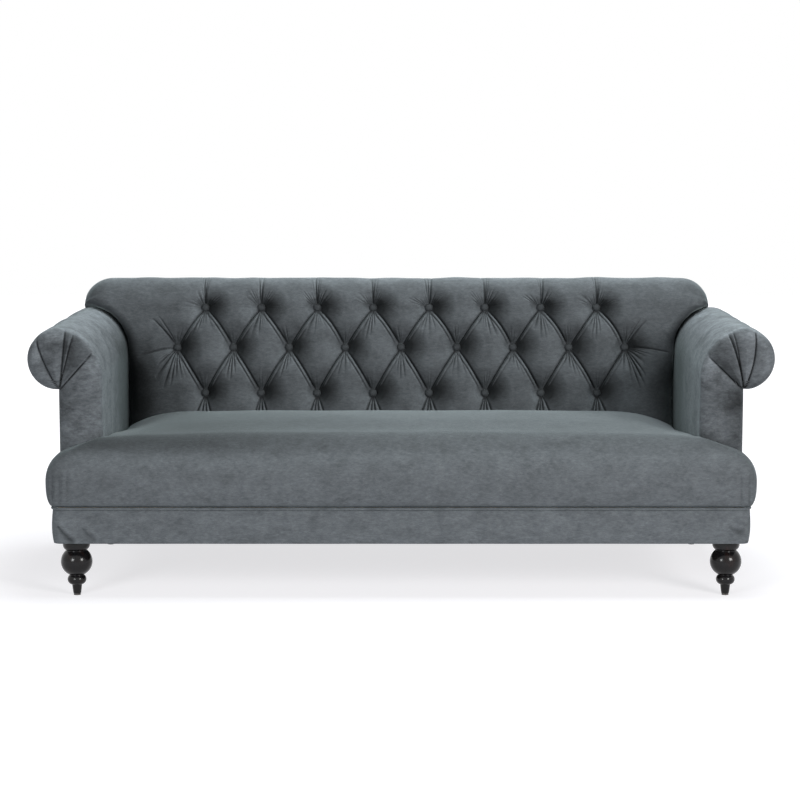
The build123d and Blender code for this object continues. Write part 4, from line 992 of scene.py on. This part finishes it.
def arm_painted_light(points, side):
    """Painted light on an arm: painted shade in the pleats, on slopes that face left, low on the front,
    under the scroll and far inside; painted highlights on the front edge and the crest.
    """
    x, y, z = points.T
    front = 1 - smoothstep(ARM_FRONT + 0.004, ARM_FRONT + 0.024, y)
    step = np.array([0.001, 0.0, 0.0])
    slope = (fan_pleats(points + step, side)[0] - fan_pleats(points - step, side)[0]) / 0.002
    # Darker towards the front's outer edge, painted shadow under the scroll, and painted shade low on the
    # front, more on the right arm.
    outer = (0.34 if side > 0 else 0.08) * smoothstep(0.825, 0.872, x)
    under_scroll = 0.30 * hump(z, 0.505, 0.040)
    lower = (outer + under_scroll + (0.16 if side > 0 else 0.0)) * (1 - smoothstep(0.52, 0.57, z))
    painted_shade = (fan_pleats(points, side)[1] + slope_shade(side * slope) + lower) * front
    # Painted highlight along the soft inner front edge.
    curved = SHOULDER_R - np.hypot(x - SHOULDER_X, z - SHOULDER_Z)
    edge = 1 - smoothstep(0.008, 0.058, np.where(z < SHOULDER_Z, x - ARM_INNER, curved))
    painted_shade = painted_shade - 0.16 * edge * (1 - smoothstep(ARM_FRONT + 0.015, ARM_FRONT + 0.11, y))
    # Painted shade over the inner face, deepening towards the back, and a painted highlight along the
    # crest.
    inner = (1 - smoothstep(ARM_INNER + 0.015, ARM_INNER + 0.050, x)) * (1 - smoothstep(0.56, 0.67, z))
    crest = smoothstep(0.630, 0.680, z)
    return painted_shade + 0.97 * inner * smoothstep(-0.16, 0.20, y) - 0.54 * crest * (1 - front)


def build_arm(side, word):
    """One padded scroll arm with a soft front edge and a fan of pleats on the scroll."""
    sections = arm_sections()
    rows, cols, _ = sections.shape
    plain = sections.reshape(-1, 3)
    points = arm_padding(plain, side)
    points[:, 0] *= side
    faces = grid_faces(rows, cols, wrap=True)
    first = len(points) - cols
    faces += [list(range(cols - 1, -1, -1)), list(range(first, first + cols))]
    if side < 0:
        faces = flipped(faces)
    piece = make_piece(f"{word}_scroll_arm", points, faces, ARM_VELVET,
                       (f"{word}_arm_cover", f"{word}_arm_foam"), arm_painted_light(plain, side))


# Base border, welt and outside panels

def border_line(inset, step):
    """Plan line round the base, from one arm to the other, as places and outward normals."""
    x, y, r = BASE_HALF - inset, BASE_FRONT + inset, BORDER_R - inset
    end = ARM_FRONT - 0.001
    line = [(-x, v, -1.0, 0.0) for v in np.arange(end, y + r, -step)]
    line += [(-x + r - r * math.cos(a), y + r - r * math.sin(a), -math.cos(a), -math.sin(a))
             for a in np.linspace(0, math.pi / 2, 14)]
    line += [(v, y, 0.0, -1.0) for v in np.arange(-x + r + step, 0, step)]
    mirror = [(-a, b, -c, d) for a, b, c, d in reversed(line)]
    return np.array(line + mirror)


# Start and end as (x, z), and depth, of each pull in the border
CORNER_PULLS = (((-0.876, 0.190), (-0.843, 0.153), 0.0026), ((-0.813, 0.186), (-0.788, 0.159), 0.0015),
                ((0.838, 0.189), (0.868, 0.176), 0.0016))


def corner_pulls(x, z):
    """Slanting pulls in the border over the front legs: their depth, and painted shade along each pull with
    a painted highlight beside it.
    """
    depth = np.zeros_like(x)
    painted_shade = np.zeros_like(x)
    for start, end, deep in CORNER_PULLS:
        share, side, gap, _ = beside(x, z, start, end, 0.0015)
        line = nearness(gap, 0.004 + 0.010 * share)
        # Painted highlight in a strip beside the pull.
        light = hump(gap, 0.014, 0.005) * (side < 0)
        depth = np.maximum(depth, deep * line ** 2)
        painted_shade = painted_shade + deep * (280 * line - 70 * light)
    return depth, painted_shade


def build_border():
    """The velvet band round the base, a little full near the top."""
    px, py, nx, ny = border_line(0.0, 0.003).T
    rows = []
    low, high = BASE_LOW, BORDER_TOP + BORDER_LAP
    for v in np.linspace(0, 1, 46):
        z = low + (high - low) * v
        full = 0.0030 * math.sin(math.pi * min(1.0, 0.12 + v * 0.9)) ** 1.2 - 0.0022 * (1 - v) ** 6
        full -= 0.0018 * max(0.0, (v - 0.93) / 0.07) ** 2
        wave = 0.0007 * waves(px, z, 0.17, 7, 41)
        out = full + wave - corner_pulls(px, z)[0]
        rows.append(spread(px + nx * out, py + ny * out, z))
    under = rows[0].copy()
    under[:, 0] -= nx * BORDER_HEM
    under[:, 1] -= ny * BORDER_HEM
    rows.insert(0, under)
    ends = rows + [rows[-1] + np.array([0.0, 0.0, BORDER_LAP])]
    faces = grid_faces(len(rows), len(px))
    points, faces = with_strips(np.concatenate(rows), faces, end_backs(ends, 0.012, 0.0))
    painted_shade = corner_pulls(points[:, 0], points[:, 2])[1]
    # Painted shade along the top of the border, under the welt.
    painted_shade = painted_shade + 0.6 * smoothstep(high - 0.007, high - 0.001, points[:, 2])
    piece = make_piece("velvet_base_border", points, faces, SEAT_VELVET, ("base_border",), painted_shade)


def build_welt():
    """Piping between the base and the seat, with its cord showing through."""
    px, py, nx, ny = border_line(-0.0012, 0.0025).T
    way = np.concatenate([[0], np.cumsum(np.hypot(np.diff(px), np.diff(py)))])
    turns = np.linspace(0, 2 * math.pi, 14, endpoint=False)
    cord = WELT_R * (1 + 0.05 * np.sin(way[:, None] * 2 * math.pi / 0.011 + turns[None, :] * 2))
    out = np.cos(turns)[None, :] * cord
    up = np.sin(turns)[None, :] * cord
    points = spread(px[:, None] + nx[:, None] * out, py[:, None] + ny[:, None] * out, WELT_Z + up)
    faces = grid_faces(*up.shape, wrap=True)
    make_piece("piped_welt", points, faces, VELVET, ("base_welt",))


def pad_edge(gap):
    """Drop of a covered panel's face near its edge."""
    share = nearness(gap, EDGE_REACH)
    return EDGE_DROP * (1 - np.sqrt(1 - share ** 2))


def scroll_bottom(y):
    """Height where the scroll meets the outside of the arm."""
    r, cx, cz, _ = scroll(y)
    return cz - math.sqrt(r ** 2 - (ARM_OUTER - cx) ** 2)


def build_outside_arm(side, word):
    """Outside arm panel: velvet over board with soft edges, a tab behind the scroll and a toe in front."""
    end = BASE_REAR - PANEL_T
    front, rear = scroll_bottom(ARM_STRAIGHT), scroll_bottom(ARM_REAR)
    under_scroll = np.linspace(ARM_STRAIGHT, ARM_REAR + 0.0010, 138)
    tab = np.linspace(ARM_REAR + 0.0014, end, 24)
    y = np.concatenate([under_scroll, tab])[None, :]
    top = front + (rear - front) * (y - ARM_STRAIGHT) / (ARM_REAR - ARM_STRAIGHT) - 0.001
    top = np.where(y > ARM_REAR + 0.0012, TAB_TOP, top)
    z = BASE_LOW + (top - BASE_LOW) * np.linspace(0, 1, 90)[:, None]
    gap = np.minimum(np.minimum(y - ARM_STRAIGHT, end - y), np.minimum(z - BASE_LOW, top - z))
    full = 0.0012 * smoothstep(0.0, 0.12, gap) + 0.0005 * waves(y, z, 0.2, 7, 51 + side)
    panel = spread(side * (ARM_OUTER - pad_edge(gap) + full * smoothstep(0.0, 0.02, gap)), y, z)
    toe_top = ARM_BOTTOM - 0.0006
    y = np.linspace(ARM_FRONT, ARM_STRAIGHT, 12)[None, :]
    z = np.linspace(BASE_LOW, toe_top, 30)[:, None]
    gap = np.minimum(y - ARM_FRONT, np.minimum(z - BASE_LOW, toe_top - z))
    toe = spread(side * (ARM_OUTER - pad_edge(gap)), y, z)
    points = np.concatenate([panel.reshape(-1, 3), toe.reshape(-1, 3)])
    faces = grid_faces(*panel.shape[:2]) + grid_faces(*toe.shape[:2], first=panel.size // 3)
    if side < 0:
        faces = flipped(faces)
    make_piece(f"{word}_outside_arm", points, faces, VELVET, (f"{word}_outside_arm_panel",))


def build_outside_back():
    """Outside back panel: velvet pulled over board, with soft edges."""
    xs = np.linspace(-ARM_OUTER, ARM_OUTER, 260)[None, :]
    zs = np.linspace(BASE_LOW, PANEL_TOP, 90)[:, None]
    gap = np.minimum(ARM_OUTER - np.abs(xs), np.minimum(zs - BASE_LOW, PANEL_TOP - zs))
    full = 0.0014 * smoothstep(0.0, 0.14, gap) + 0.0006 * waves(xs, zs, 0.24, 8, 61)
    y = BASE_REAR - pad_edge(gap) + full * smoothstep(0.0, 0.02, gap)
    faces = flipped(grid_faces(*y.shape))
    make_piece("outside_back", spread(xs, y, zs), faces, VELVET, ("outside_back_panel",))


def build_dust_cover():
    """Black cambric stapled under the base, slack between the rails."""
    low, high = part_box("dust_cover")
    xs = np.linspace(low[0], high[0], 160)[None, :]
    ys = np.linspace(low[1], high[1], 70)[:, None]
    gap = np.minimum(np.minimum(xs - low[0], high[0] - xs), np.minimum(ys - low[1], high[1] - ys))
    z = low[2] - 0.004 * smoothstep(0.03, 0.22, gap) - 0.0006 * waves(xs, ys, 0.15, 7, 71)
    faces = flipped(grid_faces(*z.shape))
    piece = make_piece("cambric_dust_cover", spread(xs, ys, z), faces, FINISHES["cambric"],
                       ("dust_cover",))


# Legs

def arc_points(start, through, end, count):
    """Points of a circular arc through three (radius, height) points."""
    (ax, ay), (bx, by), (cx, cy) = start, through, end
    d = 2 * (ax * (by - cy) + bx * (cy - ay) + cx * (ay - by))
    a2, b2, c2 = ax * ax + ay * ay, bx * bx + by * by, cx * cx + cy * cy
    ux = (a2 * (by - cy) + b2 * (cy - ay) + c2 * (ay - by)) / d
    uy = (a2 * (cx - bx) + b2 * (ax - cx) + c2 * (bx - ax)) / d
    r = math.hypot(ax - ux, ay - uy)
    t0 = math.atan2(ay - uy, ax - ux)
    tm = (math.atan2(by - uy, bx - ux) - t0) % (2 * math.pi)
    t1 = (math.atan2(cy - uy, cx - ux) - t0) % (2 * math.pi)
    if tm > t1:
        t1 -= 2 * math.pi
    turns = t0 + t1 * np.linspace(0, 1, count)
    return [(ux + r * math.cos(turn), uy + r * math.sin(turn)) for turn in turns]


def leg_profile():
    """Outline of a turned leg: foot, bead, ball and collar."""
    foot = GLIDE_T
    shares = (0.03, 0.17, 0.35, 0.585, 0.815, 0.94)
    toe, ankle, waist, ball, neck, collar = (foot + LEG_H * share for share in shares)
    line = [(0.0003, foot), (0.0088, foot), (0.0100, foot + 0.001), (0.0106, toe), (0.0128, ankle - 0.0012)]
    line += arc_points((0.0130, ankle), (0.0242, (ankle + waist) / 2), (0.0180, waist), 18)
    line += arc_points((0.0182, waist + 0.0006), (0.0406, ball), (0.0264, neck), 34)
    line += arc_points((0.0266, neck + 0.0006), (0.0335, neck * 0.55 + collar * 0.45), (0.0350, collar), 9)
    top = foot + LEG_H
    return line + [(0.0350, top - 0.0012), (0.0342, top), (0.0003, top)]


def build_legs():
    """Four turned legs in black lacquer."""
    verts, faces = lathe(leg_profile(), 72)
    for end, y in (("front", LEG_FRONT_Y), ("rear", LEG_REAR_Y)):
        for hand, x in (("left", -LEG_X), ("right", LEG_X)):
            name = f"{end}_{hand}_leg"
            make_piece("turned_" + name, verts + np.array([x, y, 0]), faces, FINISHES["black_lacquer"],
                       (name,))


build_back()
build_buttons()
build_seat()
for side, word in ((-1, "left"), (1, "right")):
    build_arm(side, word)
    build_outside_arm(side, word)
build_border()
build_welt()
build_outside_back()
build_dust_cover()
build_legs()


# Stage: pale floor, white surroundings, soft boxes and the camera

CAMERA_PLACE = (-0.003, -6.101, 1.250)
CAMERA_TILT = math.radians(82.64)
LENS = 101.7
FLOOR_HALF = 9.0


def camera_share(tree):
    """1 for rays that show the background directly or in gloss and glass."""
    path = add_node(tree, "LightPath", {})
    total = path.outputs["Is Camera Ray"]
    for name in ("Is Glossy Ray", "Is Transmission Ray"):
        total = add_node(tree, "Math", {0: total, 1: path.outputs[name]}, operation="MAXIMUM").outputs[0]
    return total


def build_floor():
    """A pale floor that keeps the shadow and turns white farther out."""
    material = bpy.data.materials.new("pale_floor")
    tree = empty_tree(material)
    pale = add_node(tree, "BsdfDiffuse", {"Color": (0.88, 0.87, 0.90, 1)})
    glow = add_node(tree, "Emission", {"Color": (0.985, 0.98, 1.0, 1), "Strength": 1.30})
    coords = add_node(tree, "TexCoord", {})
    away = add_node(tree, "VectorMath", {0: coords.outputs["Object"]}, operation="LENGTH")
    fade = add_node(tree, "MapRange", {"Value": away.outputs["Value"], "From Min": 1.0, "From Max": 2.6,
                                       "To Min": 0.56, "To Max": 1.0})
    share = add_node(tree, "Math", {0: camera_share(tree), 1: fade.outputs["Result"]}, operation="MULTIPLY")
    blend = add_node(tree, "MixShader", {"Fac": share.outputs[0], 1: pale.outputs["BSDF"],
                                         2: glow.outputs["Emission"]})
    add_node(tree, "OutputMaterial", {"Surface": blend.outputs["Shader"]})
    mesh = bpy.data.meshes.new("floor")
    corners = [(x * FLOOR_HALF, y * FLOOR_HALF, 0) for x, y in ((-1, -1), (1, -1), (1, 1), (-1, 1))]
    mesh.from_pydata(corners, [], [(0, 1, 2, 3)])
    mesh.materials.append(material)
    floor = add_object("floor", mesh)


def build_world():
    """White to the camera, a softer grey-white as light."""
    world = bpy.data.worlds.new("surroundings")
    tree = empty_tree(world)
    light = add_node(tree, "Background", {"Color": (0.96, 0.98, 1.0, 1), "Strength": 0.10})
    white = add_node(tree, "Background", {"Color": (1, 1, 1, 1), "Strength": 1.0})
    choose = add_node(tree, "MixShader", {"Fac": camera_share(tree), 1: light.outputs["Background"],
                                          2: white.outputs["Background"]})
    add_node(tree, "OutputWorld", {"Surface": choose.outputs["Shader"]})
    bpy.context.scene.world = world


def soft_box(name, place, aim, size, power, colour):
    """A large soft lamp that looks at a point."""
    lamp = bpy.data.lights.new(name, "AREA")
    lamp.shape = "RECTANGLE"
    lamp.size, lamp.size_y = size
    lamp.energy = power
    lamp.color = colour
    holder = add_object(name, lamp)
    holder.location = place
    way = [a - b for a, b in zip(aim, place)]
    flat = math.hypot(way[0], way[1])
    holder.rotation_euler = (math.pi / 2 + math.atan2(way[2], flat), 0, math.atan2(-way[0], way[1]))


def build_camera():
    """The photograph's view."""
    lens = bpy.data.cameras.new("camera")
    lens.sensor_width = 36.0
    lens.lens = LENS
    camera = add_object("camera", lens)
    camera.location = CAMERA_PLACE
    camera.rotation_euler = (CAMERA_TILT, 0, 0)
    bpy.context.scene.camera = camera


build_floor()
build_world()
soft_box("top_box", (0.4, 0.2, 3.0), (0, 0.1, 0.4), (2.6, 1.8), 106, (0.92, 0.99, 1.0))
soft_box("right_box", (2.9, -3.7, 1.9), (0, 0, 0.45), (1.3, 1.3), 126, (1.0, 0.99, 0.98))
soft_box("left_box", (-2.4, -4.1, 1.6), (0, 0, 0.35), (1.2, 1.2), 88, (0.97, 0.99, 1.0))
build_camera()
bpy.context.scene.view_settings.view_transform = "Standard"
